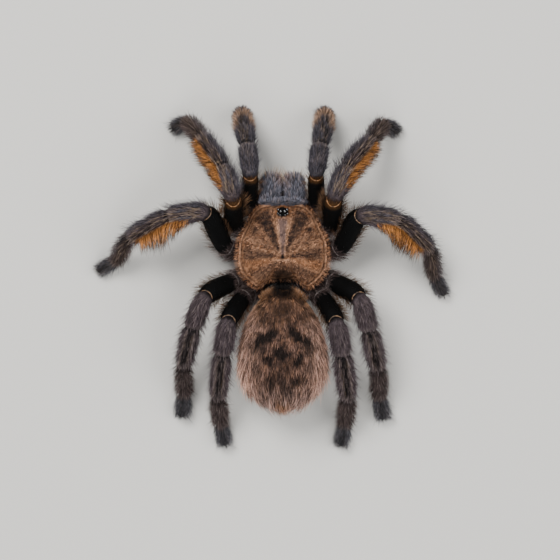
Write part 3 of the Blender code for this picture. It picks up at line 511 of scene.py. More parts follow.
def jaw(side, sizes, colours):
    """One jaw, from its round back end to its blunt front end, and the lie of its velvet."""
    sign = SIGNS[side]
    share = np.sin(np.linspace(0, np.pi / 2, JAW_ROWS))[:, None]
    close = np.maximum(share - JAW_CLOSES, 0) / (1 - JAW_CLOSES)
    radius = JAW_RADIUS * (1 - JAW_TAPER * share - JAW_END * close * share ** 6)
    behind = np.clip(1 - share / JAW_ROUND, 0, 1)
    radius = radius * np.sqrt(1 - behind ** 2) * (1 - ramp(share, 0.985, 1.0))
    turn = np.radians(np.linspace(-90, 270, JAW_SIDES + 1))[None]
    inset = sizes.skin_depth / MM
    x = (JAW_X - JAW_INWARD * share) + (radius - inset) * np.cos(turn)
    z = JAW_RAISED - JAW_DROOP * share ** 2 + (radius - inset) * np.sin(turn)
    y = JAW_BACK + (JAW_FRONT - JAW_BACK) * share + JAW_CORNER * ramp(x, 3.0, 6.0) * (
        1 - ramp(share, 0.0, 0.3))
    place = np.stack([np.maximum(x, 0.15 + inset) * sign, y,
                      JAW_MIDDLE_Z + z * JAW_HEIGHT_SHARE], -1)
    front = np.broadcast_to(share, x.shape)
    side_place = np.abs(place[..., 0])
    rusty = ramp(front, 0.35, 0.9) * band(side_place, 0, 0.9, 1.8) * mottle(
        place[..., 0] * 2, place[..., 1], 0.5, 31)
    coat = mix(colours.jaw, colours.bristle, 0.9 * rusty)
    behind = 1 - ramp(front, 0.0, 0.16)
    coat = coat * (1 + 0.3 * behind)[..., None]
    coat = velvet_coat(coat, place, colours)
    coat = mix(coat, colours.stripe, 0.7 * (1 - rusty) * band(side_place, 0, 0.4, 0.3))
    out = np.stack([np.cos(turn) * sign, 0 * turn - 0.2, np.sin(turn)], -1)
    lie = unit(np.array((0, -1.0, 0)) + (0.42 + 0.8 * behind)[..., None] * out)
    return new_form(place, coat, front=front, lie=lie, long=0.8 + 0.5 * front - 0.2 * behind,
                    density=ramp(side_place, 0.2, 0.6) * (1 + 0.5 * behind))


def heading_way(heading, rise, sign):
    """Direction of a heading seen from above and a rise above the level."""
    turn, lift = math.radians(heading), math.radians(rise)
    return Vector((math.sin(turn) * sign * math.cos(lift),
                   -math.cos(turn) * math.cos(lift), math.sin(lift)))


def radius_along(radii, share, last):
    """Radius along a segment, closed round at the end of the last one."""
    start, middle, end = radii
    radius = (start * (1 - share) * (1 - 2 * share) + 4 * middle * share * (1 - share)
              + end * share * (2 * share - 1))
    close = np.clip((share - FOOT_CLOSES) / (1.01 - FOOT_CLOSES), 0, 1)
    return radius * np.sqrt(1 - close ** 2) if last else radius


def limb_joints(pair, side):
    """The joints of a limb from the sternum to the tip."""
    sign = SIGNS[side]
    limb = f"{pair}_{side}"
    rises = RISE.get(limb) or RISE[pair]
    turn = math.radians(COXA_TURN[pair])
    joints = [Vector(((STERNUM_SIZE[0] + COXA_OFF) * math.sin(turn) * sign,
                      -(STERNUM_SIZE[1] + COXA_OFF) * math.cos(turn), COXA_Z)),
              Vector((HIP[pair][0] * sign, HIP[pair][1], HIP_Z))]
    for number, ((size, _), heading) in enumerate(zip(SEGMENTS[pair][:-1], HEADING[limb])):
        if number < len(rises):
            rise = rises[number]
        else:
            rise = -math.degrees(math.asin((joints[-1].z - FOOT_Z[pair]) / size))
        joints.append(joints[-1] + heading_way(heading, rise, sign) * size)
    size, radii = SEGMENTS[pair][-1]
    share = np.linspace(0, 1, 60)
    radius = radius_along(radii, share, True)
    # The last segment comes down until its side is pressed a little into the floor
    for rise in np.linspace(20, -85, 400):
        lift = math.radians(rise)
        low = joints[-1].z + size * share * math.sin(lift) - radius * math.cos(lift)
        if low.min() < -FLAT_DEPTH:
            break
    joints.append(joints[-1] + heading_way(HEADING[limb][-1], rise, sign) * size)
    return joints


def limb_line(pair, side):
    """A limb's centre line, its radius, and the segment and share reached at each place."""
    joints = limb_joints(pair, side)
    count = len(joints) - 1
    line, middles = [joints[0]], [0]
    for number in range(count):
        start, end = joints[number], joints[number + 1]
        stop = end
        if number + 1 < count:
            after = joints[number + 2]
            before, beyond = end - start, after - end
            stop = end - before.normalized() * min(BEND, before.length * CORNER_SHARE)
            leave = end + beyond.normalized() * min(BEND, beyond.length * CORNER_SHARE)
        steps = max(2, round((stop - line[-1]).length / LIMB_STEP))
        begin = line[-1]
        line += [begin.lerp(stop, step / steps) for step in range(1, steps + 1)]
        if number + 1 < count:
            for step in range(1, CORNER_STEPS + 1):
                share = step / CORNER_STEPS
                line.append(stop.lerp(end, share).lerp(end.lerp(leave, share), share))
            middles.append(len(line) - 1 - CORNER_STEPS // 2)
    middles.append(len(line) - 1)
    line = np.array(line)
    steps = np.concatenate([[0], np.cumsum(np.linalg.norm(np.diff(line, axis=0), axis=1))])
    progress = np.interp(steps, steps[middles], np.arange(count + 1))
    radius = np.zeros(len(line))
    for number in range(count):
        inside = (progress >= number) & (progress <= number + 1)
        radii = COXA_RADII if number == 0 else SEGMENTS[pair][number - 1][1]
        radius[inside] = radius_along(radii, progress[inside] - number, number == count - 1)
    for middle in middles[2:-1]:
        radius -= NECK_DEPTH * np.exp(-((steps - steps[middle]) / NECK_WIDTH) ** 2)
    radius[[0, -1]] = 0
    return line, radius, progress, steps


def limb_coat(pair, progress, around, steps, seed, colours):
    """Markings of a limb: dark femora, a brown band near the end of some, and fine lines beyond."""
    palp, rear = pair == "palp", pair in REAR_PAIRS
    tones = [colours.femur] + ([colours.palp] * 3 if palp else
                               [colours.leg] * 2 + [colours.brush, colours.pad])
    layers = []
    for number, tone in enumerate(tones, start=1):
        edge = number + (0.1 if number == 1 else 0.0)
        layers.append((tone, ramp(progress, edge - 0.04, edge + 0.04)))
    outer = ramp(progress, 2.04, 2.12) * (1 - 0.6 * ramp(progress, 3.9, 4.2))
    if rear:
        lined = outer * (ramp(progress, 2.97, 3.08) * (1 - 0.8 * ramp(progress, 3.75, 3.95)))
    else:
        lined = outer * (0.3 + 0.7 * ramp(progress, 2.7, 3.1))
        layers.append((colours.palp, outer * (0.9 * ramp(around, 108, 128)
                                              + 0.5 * band(progress, 2.2, 0.05, 0.12))))
    for number, (middle, tone, strength, half) in enumerate(REAR_LINES if rear else FRONT_LINES):
        drift = 9 * (wander(steps, 14, seed + number) - 0.5)
        patchy = ramp(wander(steps, 7.0, seed + 10 + number), -1.5 if rear else 0.0, 0.7)
        line = band(around + drift, middle, half, 3.5)
        layers.append((getattr(colours, tone), strength * lined * patchy * line))
    # Fine pale flecks and dark gaps in the fur of the outer segments
    grain = mottle(around * STREAK_ACROSS, steps * STREAK_ALONG, 0.3, seed + 40)
    fleck = ramp(progress, 2.02, 2.1) * (1 - 0.5 * ramp(progress, 3.9, 4.2)) * ramp(
        grain, 0.75, 1.0) * band(around, 85, 30, 45)
    if palp or rear:
        layers.append((colours.hip_hair, (0.35 if palp else 0.5) * fleck))
    else:
        layers.append((colours.streak, 0.28 * fleck))
    gaps = 1 - ramp(grain, 0.0, 0.4)
    layers.append((colours.stripe, 0.3 * ramp(progress, 2.02, 2.1) * gaps))
    if pair in ("palp", "leg_1"):
        glow = band(progress, 1.93, 0.01, 0.07) * band(around, 90, 50, 35)
        layers.append((np.array(colours.ring) * 0.22, glow))
    if palp:
        # The golden-brown tip starts in an arch over the limb
        back = 3.86 - 0.36 * ramp(np.abs(around - 90), 10, 50)
        tip = ramp(progress, back, back + 0.2) * (1 - ramp(progress, 4.25, 4.45))
        hairy = mottle(around * STREAK_ACROSS, steps * 2 * STREAK_ALONG, 0.22, seed + 41)
        layers += [(colours.palp_tip, (0.5 + 0.5 * hairy) * tip),
                   (colours.stripe, 0.4 * tip * (1 - ramp(hairy, 0.0, 0.35)))]
    if pair in FRONT_PAIRS:
        # Two bald grey ovals with pale edges lie side by side on each patella
        for middle in (66, 106):
            oval = np.hypot((around - middle) / 13, (progress - 2.5) / 0.3)
            layers += [(np.array(colours.palp) * 1.1, 0.9 * (1 - ramp(oval, 0.7, 0.95))),
                       (colours.streak, 0.6 * band(oval, 1.12, 0.06, 0.14))]
    above = band(around, 90, 60, 40)
    for joint in range(3, 6):
        layers += [
            (colours.stripe, 0.85 * band(progress, joint + 0.01, 0.025, 0.03)),
            (colours.hip_hair, 0.5 * above * band(progress, joint - 0.1, 0.02, 0.04))]
    pad = ramp(progress, 5.02, 5.15) * band(around, 90, 14, 26)
    layers.append((colours.stripe, 0.55 * pad))
    return painted(colours.hip, layers)


def gold_share(pair, progress, around):
    """Where the golden fringe grows: the rear side of the first legs' outer half."""
    if pair not in FRONT_PAIRS:
        return np.zeros_like(progress)
    low, high = GOLD_SPAN[pair]
    return band(around, 18 if pair == "leg_1" else 12, 32, 14) * ramp(progress, low, low + 0.3) * (
        1 - ramp(progress, high - 0.08, high))


def pale_share(pair, progress, around, steps, seed):
    """Where fine pale hairs lie along the limb, in lines."""
    front = pair in FRONT_PAIRS
    upper = ramp(progress, 2.1, 2.2) * (1 - ramp(progress, 3.85, 3.95))
    share = 0
    for number, middle in enumerate(FRONT_HAIRS if front else REAR_HAIRS):
        drift = 9 * (wander(steps, 14, seed + number) - 0.5)
        patchy = ramp(wander(steps, 5.0, seed + 20 + number), 0.45, 0.9)
        share = np.maximum(share, (0.8 if front else 0.2) * upper * patchy
                           * band(around + drift, middle, 1.5, 3.0))
    lower = ramp(progress, 4.05, 4.1) * (1 - ramp(progress, 4.8, 5.0))
    for middle in FOOT_HAIRS:
        share = np.maximum(share, 0.4 * lower * band(around, middle, 1.5, 3.0))
    return share


def limb(pair, side, sizes, colours):
    """One leg or palp, from coxa to tip, with its markings and the lie and length of its fur."""
    sign = SIGNS[side]
    line, radius, progress, steps = limb_line(pair, side)
    inset = sizes.skin_depth / MM
    way = unit(np.gradient(line, axis=0))
    rear = unit(np.cross((0, 0, 1), way)) * sign
    over = np.cross(way, rear) * sign
    around = np.linspace(-90, 270, LIMB_SIDES + 1)
    turn = np.radians(around)[None, :, None]
    out = rear[:, None] * np.cos(turn) + over[:, None] * np.sin(turn)
    place = line[:, None] + out * np.maximum(radius - inset, 0)[:, None, None]
    place[..., 2] = np.maximum(place[..., 2], 0.05)
    shape = place.shape[:2]
    progress = np.broadcast_to(progress[:, None], shape)
    around = np.broadcast_to(around[None], shape)
    steps = np.broadcast_to(steps[:, None], shape)
    seed = 100 * (1 + list(SEGMENTS).index(pair)) + (0 if side == "left" else 50)
    gold = gold_share(pair, progress, around)
    pale = pale_share(pair, progress, around, steps, seed)
    coat = limb_coat(pair, progress, around, steps, seed, colours)
    coat = mix(coat, np.array(colours.gold) * 0.5, gold)
    palp = pair == "palp"
    long = by_segment(progress, PALP_FUR_LONG if palp else FUR_LONG)
    lift = by_segment(progress, PALP_FUR_LIFT if palp else FUR_LIFT)
    for joint, short in JOINT_SHORT.items():
        near = short * band(progress, joint - 0.08, 0.05, 0.09)
        long, lift = long * (1 - near), lift * (1 - 0.8 * near)
    if palp:
        end = band(progress, 4.05, 0.35, 0.3)
        long, lift = long * (1 + 0.35 * end), lift + 0.7 * end
    way = np.broadcast_to(way[:, None], place.shape)
    return new_form(place, coat, lie=unit(way + out * lift[..., None]), long=long,
                    density=ramp(progress, 0.3, 0.5), progress=progress, around=around,
                    out=out, way=way, rear=np.broadcast_to(rear[:, None], place.shape),
                    gold=gold, pale=pale)


def ball(middle, size, rows=24, sides=32):
    """A closed ellipsoid, for the skin alone."""
    turn = np.linspace(0, np.pi, rows)[:, None]
    around = np.linspace(-np.pi, np.pi, sides + 1)[None]
    whole = np.stack([np.sin(turn) * np.sin(around), np.sin(turn) * np.cos(around),
                      np.broadcast_to(-np.cos(turn), (rows, sides + 1))], -1)
    return np.array(middle) + whole * np.array(size)


def tube(points, radii, sides=20, steps=6):
    """A closed round tube through the points, for the skin, spinnerets and fangs."""
    points, radii = np.array(points, float), np.array(radii, float)
    knots = np.arange(len(points))
    fine = np.linspace(0, len(points) - 1, (len(points) - 1) * steps + 1)
    line = np.stack([np.interp(fine, knots, points[:, axis]) for axis in range(3)], -1)
    line[1:-1] = (line[:-2] + 2 * line[1:-1] + line[2:]) / 4
    radius = np.interp(fine, knots, radii)
    line = np.concatenate([line[:1], line, line[-1:]])
    radius = np.concatenate([[0], radius, [0]])
    way = unit(np.gradient(line, axis=0))
    side = unit(np.cross(way, (1.0, 0.02, 0.03)))
    top = np.cross(side, way)
    turn = np.linspace(0, 2 * np.pi, sides + 1)[None, :, None]
    out = side[:, None] * np.cos(turn) + top[:, None] * np.sin(turn)
    return line[:, None] + out * radius[:, None, None]


def eye_hill_z():
    """Height of the middle of the eye hill."""
    return float(shield_height(np.array(EYE_HILL[0]), np.array(EYE_HILL[1]))) - EYE_HILL_SUNK


def eye_hill(colours):
    """The low hill that carries the eyes, dark on top, with no hair between them."""
    place = ball((*EYE_HILL, eye_hill_z()), EYE_HILL_SIZE)
    wide, deep, _ = EYE_HILL_SIZE
    away = np.hypot(place[..., 0] / wide, (place[..., 1] - EYE_HILL[1]) / deep)
    above = place[..., 2] > eye_hill_z()
    coat = mix(colours.femur, colours.shield, 0.8 * ramp(away, 0.8, 1.0))
    return new_form(place, coat, density=above * ramp(away, 0.76, 0.86))


def face(colours):
    """The soft front of the head, which joins the jaws to the carapace under their velvet."""
    place = ball((0, JAW_BACK - FACE_BACK, JAW_MIDDLE_Z), FACE_SIZE)
    out = unit((place - np.array((0, JAW_BACK - FACE_BACK, JAW_MIDDLE_Z))) / np.square(FACE_SIZE))
    above = ramp(place[..., 2], JAW_MIDDLE_Z, JAW_MIDDLE_Z + 1.5)
    return new_form(place, velvet_coat(colours.jaw, place, colours), density=above,
                    lie=unit(np.array((0, -1.0, 0.3)) + 0.4 * out))


def waist(colours):
    """The narrow waist, which carries a dark collar of hair."""
    points = [(0, 5.4, PEDICEL_Z), (0, 8.4, PEDICEL_Z + 0.6), (0, 11.2, 9.4)]
    place = tube(points, [PEDICEL_RADIUS] * 3)
    out = unit(place - place[:, :-1].mean(1, keepdims=True) + 1e-9)
    return new_form(place, np.array(colours.femur), lie=unit(out + np.array((0, 0.5, 0))))


def plain_forms(sizes, colours):
    """Forms with no coat of their own: the breast plate and spinnerets."""
    inset = sizes.skin_depth / MM
    brown = np.array(colours.femur)
    half_high = (CARAPACE_UNDERSIDE - STERNUM_BOTTOM) / 2
    forms = [new_form(ball((0, 0, STERNUM_BOTTOM + half_high), (
        STERNUM_SIZE[0] - inset, STERNUM_SIZE[1] - inset, half_high)), brown)]
    for across, z, lengths, radii in SPINNERETS:
        for sign in SIGNS.values():
            low = (z - ABDOMEN_MIDDLE_Z) / ABDOMEN_HALF_HEIGHT
            wide = across * sign / ABDOMEN_HALF_WIDTH
            root = Vector(abdomen_place(wide, math.sqrt(1 - wide ** 2 - low ** 2), low))
            away = root - Vector((0, ABDOMEN_WIDEST_Y, ABDOMEN_MIDDLE_Z))
            out = Vector((away.x / ABDOMEN_HALF_WIDTH ** 2, away.y / ABDOMEN_REAR ** 2,
                          away.z / ABDOMEN_HALF_HEIGHT ** 2)).normalized()
            points = [root - out * 0.6, root + out * SPINNERET_GAP]
            for number, size in enumerate(lengths):
                bent = Vector((0.12 * sign, 1.0, 0.05 * number)).normalized()
                points.append(points[-1] + out.lerp(bent, number / len(lengths) * 1.3
                                                    ).normalized() * size)
            tone = np.array(colours.abdomen_top) * 0.5
            forms.append(new_form(tube(points, [radii[0], *radii]), tone))
    return forms


def chosen():
    """The sizes and colours that the panel holds."""
    return bpy.context.scene.tarantula_sizes, bpy.context.scene.tarantula_colours


_made = {}


def forms():
    """Every form of the body, made once."""
    if not _made:
        sizes, colours = chosen()
        _made["shield"] = shield(sizes, colours)
        _made["eye_hill"] = eye_hill(colours)
        _made["waist"] = waist(colours)
        _made["face"] = face(colours)
        _made["abdomen"] = abdomen(sizes, colours)
        for side in SIGNS:
            _made[f"jaw_{side}"] = jaw(side, sizes, colours)
            for pair in SEGMENTS:
                _made[f"{pair}_{side}"] = limb(pair, side, sizes, colours)
        for number, form in enumerate(plain_forms(sizes, colours)):
            _made[f"plain_{number}"] = form
    return _made


def both(name):
    """The left and right one of a pair of forms."""
    return [forms()[f"{name}_{side}"] for side in SIGNS]


# Meshes and node trees


def fill(tree, made, inputs):
    """Fills a node's sockets with values or links; a node as a value is its first output."""
    for name, value in inputs.items():
        if isinstance(value, bpy.types.Node):
            value = value.outputs[0]
        if isinstance(value, bpy.types.NodeSocket):
            tree.links.new(value, made.inputs[name])
        else:
            made.inputs[name].default_value = value


def node(tree, kind, inputs=None, **settings):
    """Adds a node, sets its properties and fills its sockets."""
    made = tree.nodes.new(kind)
    for name, value in settings.items():
        setattr(made, name, value)
    fill(tree, made, inputs or {})
    return made


def grid_mesh(name, some_forms, closed=False):
    """One mesh of several grids, with what the hair needs to know at each of its points."""
    places, quads, values = [], [], {key: [] for key in POINT_VALUES}
    count = 0
    for number, form in enumerate(some_forms):
        rows, columns = form.place.shape[:2]
        size = rows * columns
        index = count + np.arange(size).reshape(rows, columns)
        faces = np.stack([index[:-1, :-1], index[:-1, 1:], index[1:, 1:], index[1:, :-1]], -1)
        across, along = np.gradient(form.place, axis=1), np.gradient(form.place, axis=0)
        outward = form.place - form.place[:, :-1].mean(1, keepdims=True)
        if (np.cross(across, along) * outward).sum() < 0:
            faces = faces[..., ::-1]
        quads.append(faces.reshape(-1, 4))
        places.append(form.place.reshape(-1, 3))
        count += size
        patch = np.zeros((rows, columns, 3))
        patch[..., 0] = (number + 0.03 + 0.94 * np.linspace(0, 1, columns)) / len(some_forms)
        patch[..., 1] = (0.02 + 0.96 * np.linspace(0, 1, rows))[:, None]
        coat = np.append(form.coat, np.ones((rows, columns, 1)), -1)
        known = {"lie": form.lie, "patch": patch, "coat": coat, "long": form.long,
                 "density": form.density}
        for key, value in known.items():
            values[key].append(value.reshape(size, -1))
    mesh = bpy.data.meshes.new(name)
    whole = np.concatenate(places) * MM + SHIFT
    mesh.from_pydata(whole.tolist(), [], np.concatenate(quads).tolist())
    if not closed:
        for key, (kind, field) in POINT_VALUES.items():
            made = mesh.attributes.new(key, kind, "POINT")
            made.data.foreach_set(field, np.concatenate(values[key]).astype(np.float32).ravel())
    return mesh


def new_object(name, data):
    """An object at the scene's origin."""
    made = bpy.data.objects.new(name, data)
    bpy.context.scene.collection.objects.link(made)
    return made


def new_piece(name, mesh):
    """A piece of the model, which rides on its one body."""
    piece = new_object(name, mesh)
    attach(piece, "root")
    return piece


def evaluated_mesh(obj):
    """The mesh that an object's modifiers make; the object itself is removed."""
    bpy.context.view_layer.update()
    graph = bpy.context.evaluated_depsgraph_get()
    mesh = bpy.data.meshes.new_from_object(obj.evaluated_get(graph))
    obj.modifiers.clear()
    bpy.data.objects.remove(obj)
    return mesh


def finish_shell(mesh, look):
    """Closes a grid's seam and poles and makes a smooth piece of it."""
    weld = new_object(mesh.name + "_shell", mesh)
    weld.modifiers.new("weld", "WELD").merge_threshold = 1e-7
    closed = evaluated_mesh(weld)
    closed.materials.clear()
    closed.materials.append(look)
    closed.shade_smooth()
    return new_piece(mesh.name, closed)


def tuft_nodes(add, given, spot):
    """One tuft, which stands on its root along Z and bends away from X.

    Its tip and its own small unwrap are noted before it is drawn out to size."""
    cone = add("GeometryNodeMeshCone", {
        "Vertices": 3, "Side Segments": given["Bends"], "Radius Top": 0.0, "Radius Bottom": 1.0,
        "Depth": 1.0})
    at = add("ShaderNodeSeparateXYZ", {0: spot}).outputs
    tip = add("GeometryNodeStoreNamedAttribute", {
        "Geometry": cone, "Name": "tip", "Value": at["Z"]})
    half = add("ShaderNodeMath", {0: at["Y"], 1: 0.5, 2: 0.5}, operation="MULTIPLY_ADD")
    depth = add("ShaderNodeMath", {0: at["X"], 1: 0.1, 2: 0.1}, operation="MULTIPLY_ADD")
    rise = add("ShaderNodeMath", {0: at["Z"], 1: 0.8, 2: depth}, operation="MULTIPLY_ADD")
    fold = add("ShaderNodeCombineXYZ", {"X": half, "Y": rise})
    folded = add("GeometryNodeStoreNamedAttribute", {
        "Geometry": tip, "Name": "fold", "Value": fold}, data_type="FLOAT_VECTOR")
    # It is narrow at its root, widest a third of the way up, and ends in a point
    fat = add("ShaderNodeMath", {0: at["Z"], 1: 1.1, 2: 0.45}, operation="MULTIPLY_ADD")
    thick = add("ShaderNodeMath", {0: fat, 1: given["Thickness"]}, operation="MULTIPLY")
    wide = add("ShaderNodeMath", {0: fat, 1: given["Width"]}, operation="MULTIPLY")
    size = add("ShaderNodeCombineXYZ", {"X": thick, "Y": wide, "Z": given["Length"]})
    grown = add("ShaderNodeVectorMath", {0: spot, 1: size}, operation="MULTIPLY")
    square = add("ShaderNodeMath", {0: at["Z"], 1: 2.0}, operation="POWER")
    bend = add("ShaderNodeMath", {0: square, 1: given["Curl"]}, operation="MULTIPLY")
    aside = add("ShaderNodeMath", {0: bend, 1: given["Length"]}, operation="MULTIPLY")
    back = add("ShaderNodeCombineXYZ", {"X": aside})
    bent = add("ShaderNodeVectorMath", {0: grown, 1: back}, operation="SUBTRACT")
    tuft = add("GeometryNodeSetPosition", {"Geometry": folded, "Position": bent})
    return add("GeometryNodeSetShadeSmooth", {"Geometry": tuft})


def root_nodes(add, given, spot):
    """Roots as dense as the mesh says, sunk a little, with their normals and their locks.

    Each root carries how much its tuft's tone differs, by chance and by its lock."""
    often = add("GeometryNodeInputNamedAttribute", {"Name": "density"}, data_type="FLOAT")
    density = add("ShaderNodeMath", {0: often, 1: given["Density"]}, operation="MULTIPLY")
    spread = add("GeometryNodeDistributePointsOnFaces", {
        "Mesh": given["Geometry"], "Density": density, "Seed": given["Seed"]})
    normal = spread.outputs["Normal"]
    down = add("ShaderNodeVectorMath", {0: normal, "Scale": -TUFT_SUNK * MM}, operation="SCALE")
    sunk = add("GeometryNodeSetPosition", {"Geometry": spread, "Offset": down})
    toss = add("FunctionNodeRandomValue", {2: -1.0, 3: 1.0, "Seed": given["Seed"]},
               data_type="FLOAT").outputs["Value"]
    chance = add("ShaderNodeMath", {0: toss, 1: given["Chance"]}, operation="MULTIPLY")
    patchy = add("ShaderNodeTexNoise", {
        "Vector": spot, "Scale": given["Lock Size"], "Detail": 1.0})
    differ = add("ShaderNodeMath", {0: chance, 1: patchy}, operation="ADD")
    varied = add("GeometryNodeStoreNamedAttribute", {
        "Geometry": sunk, "Name": "vary", "Value": differ})
    return varied, normal, patchy


def way_nodes(add, given, spot, normal):
    """The way each tuft lies: with the coat, lifted, swayed in locks and a little at random."""
    lie = add("GeometryNodeInputNamedAttribute", {"Name": "lie"}, data_type="FLOAT_VECTOR")
    lift = add("ShaderNodeVectorMath", {0: normal, "Scale": given["Lift"]}, operation="SCALE")
    raised = add("ShaderNodeVectorMath", {0: lie, 1: lift}, operation="ADD")
    wave = add("ShaderNodeTexNoise", {
        "Vector": spot, "Scale": given["Sway Size"], "Detail": 1.0}).outputs["Color"]
    middle = add("ShaderNodeVectorMath", {0: wave, 1: (0.5, 0.5, 0.5)}, operation="SUBTRACT")
    sway = add("ShaderNodeVectorMath", {0: middle, "Scale": given["Sway"]}, operation="SCALE")
    swayed = add("ShaderNodeVectorMath", {0: raised, 1: sway}, operation="ADD")
    stray = add("FunctionNodeRandomValue", {0: (-1, -1, -1), 1: (1, 1, 1), "Seed": 7},
                data_type="FLOAT_VECTOR").outputs["Value"]
    little = add("ShaderNodeVectorMath", {0: stray, "Scale": given["Spread"]}, operation="SCALE")
    way = add("ShaderNodeVectorMath", {0: swayed, 1: little}, operation="ADD")
    return add("FunctionNodeAxesToRotation", {0: way, 1: normal},
               primary_axis="Z", secondary_axis="X")


def size_nodes(add, given, patchy):
    """Tufts differ in size, and where the coat is ragged its locks differ in length."""
    grow = add("FunctionNodeRandomValue", {2: 0.7, 3: 1.15, "Seed": 3},
               data_type="FLOAT").outputs["Value"]
    long = add("GeometryNodeInputNamedAttribute", {"Name": "long"}, data_type="FLOAT")
    even = add("ShaderNodeMath", {0: grow, 1: long}, operation="MULTIPLY")
    lock = add("ShaderNodeMath", {0: patchy, 1: 0.5}, operation="SUBTRACT")
    ragged = add("ShaderNodeMath", {0: lock, 1: given["Ragged"], 2: 1.0},
                 operation="MULTIPLY_ADD")
    longer = add("ShaderNodeMath", {0: even, 1: ragged}, operation="MULTIPLY")
    return add("ShaderNodeCombineXYZ", {"X": grow, "Y": grow, "Z": longer})


def unwrap_nodes(add, geometry):
    """Unwraps each tuft in a small patch at its root's place on the form's own unwrap."""
    patch = add("GeometryNodeInputNamedAttribute", {"Name": "patch"}, data_type="FLOAT_VECTOR")
    inner = add("GeometryNodeInputNamedAttribute", {"Name": "fold"}, data_type="FLOAT_VECTOR")
    small = add("ShaderNodeVectorMath", {0: inner, "Scale": TUFT_PATCH}, operation="SCALE")
    where = add("ShaderNodeVectorMath", {0: patch, 1: small}, operation="ADD")
    last = add("GeometryNodeStoreNamedAttribute", {
        "Geometry": geometry, "Name": "OFBake", "Value": where},
        data_type="FLOAT2", domain="CORNER")
    for name in ("lie", "patch", "fold", "density", "long"):
        last = add("GeometryNodeRemoveAttribute", {"Geometry": last, "Name": name})
    return last


def hair_tree():
    """Geometry nodes that cover a mesh with one coat of tapered, bent tufts of hair."""
    tree = bpy.data.node_groups.get("coat of hair")
    if tree:
        return tree
    tree = bpy.data.node_groups.new("coat of hair", "GeometryNodeTree")
    tree.is_modifier = True
    for name, (kind, usual) in HAIR_INPUTS.items():
        socket = tree.interface.new_socket(name, in_out="INPUT", socket_type="NodeSocket" + kind)
        if usual is not None:
            socket.default_value = usual
    tree.interface.new_socket("Geometry", in_out="OUTPUT", socket_type="NodeSocketGeometry")
    add = partial(node, tree)
    given = add("NodeGroupInput").outputs
    spot = add("GeometryNodeInputPosition")
    roots, normal, patchy = root_nodes(add, given, spot)
    planted = add("GeometryNodeInstanceOnPoints", {
        "Points": roots, "Instance": tuft_nodes(add, given, spot),
        "Rotation": way_nodes(add, given, spot, normal),
        "Scale": size_nodes(add, given, patchy)})
    real = add("GeometryNodeRealizeInstances", {0: planted})
    # Nothing reaches below the floor
    floor = add("ShaderNodeVectorMath", {0: spot, 1: (-1.0, -1.0, FLOOR_GAP * MM)},
                operation="MAXIMUM")
    above = add("GeometryNodeSetPosition", {"Geometry": real, "Position": floor})
    painted = add("GeometryNodeSetMaterial", {
        "Geometry": unwrap_nodes(add, above), "Material": given["Material"]})
    add("NodeGroupOutput", {0: painted})
    return tree


def grow(name, some_forms, look, slot, density, width=0.1, thickness=0.06, **settings):
    """Grows one coat on the forms and turns it into a plain piece.

    The density is in tufts per square millimetre, and a tuft's width and thickness are in
    millimetres. The other settings are the inputs of the coat of hair by name."""
    guide = new_object(name + "_guide", grid_mesh(name, some_forms))
    modifier = guide.modifiers.new("coat", "NODES")
    modifier.node_group = hair_tree()
    sockets = {item.name: item.identifier for item in modifier.node_group.interface.items_tree
               if item.in_out == "INPUT"}
    settings.update(material=look, density=density * PER_MM ** 2, width=width * MM,
                    thickness=thickness * MM)
    for key, value in settings.items():
        modifier[sockets[key.replace("_", " ").title()]] = value
    return new_piece(name, evaluated_mesh(guide))


# Materials


def new_look(name):
    """A material, with its node tree, a short call that adds nodes to it, and its shader."""
    look = bpy.data.materials.new(name)
    look.use_nodes = True
    tree = look.node_tree
    return look, tree, partial(node, tree), tree.nodes["Principled BSDF"]


def hair_material(name, root, tip, differ=0.5, shine=0.2, end_code=None, end_from=0.6):
    """Chitin hair: matt, darkened towards its root by painted shade and lighter at the tip.

    Its colour comes from the coat's own markings, and locks differ from it by a share, which
    breaks a coat into strands. Root scales the colour at the root, where the painted shade is
    deepest, and tip scales it at the tip. An end colour takes over beyond a share of the
    hair's length."""
    look, tree, add, shader = new_look(name)
    coat = add("ShaderNodeAttribute", attribute_name="coat")
    vary = add("ShaderNodeAttribute", attribute_name="vary").outputs["Fac"]
    along = add("ShaderNodeAttribute", attribute_name="tip").outputs["Fac"]
    spread = add("ShaderNodeMapRange", {
        "Value": vary, "From Min": 0.3, "From Max": 0.7, "To Min": 1 - differ,
        "To Max": 1 + differ})
    # Painted shade: the colour is scaled from root at the root, where the coat shades itself, to
    # tip at the tip
    rise = add("ShaderNodeMapRange", {"Value": along, "To Min": root, "To Max": tip})
    whole = add("ShaderNodeMath", {0: spread, 1: rise}, operation="MULTIPLY")
    tone = add("ShaderNodeVectorMath", {0: coat, "Scale": whole}, operation="SCALE")
    if end_code:
        ends = add("ShaderNodeMapRange", {
            "Value": along, "From Min": end_from, "From Max": end_from + 0.3})
        tone = add("ShaderNodeMix", {"Factor": ends, 6: tone, 7: (*linear(end_code), 1.0)},
                   data_type="RGBA").outputs[2]
    fill(tree, shader, {"Base Color": tone, "Roughness": 0.55, "Specular IOR Level": shine})
    return look


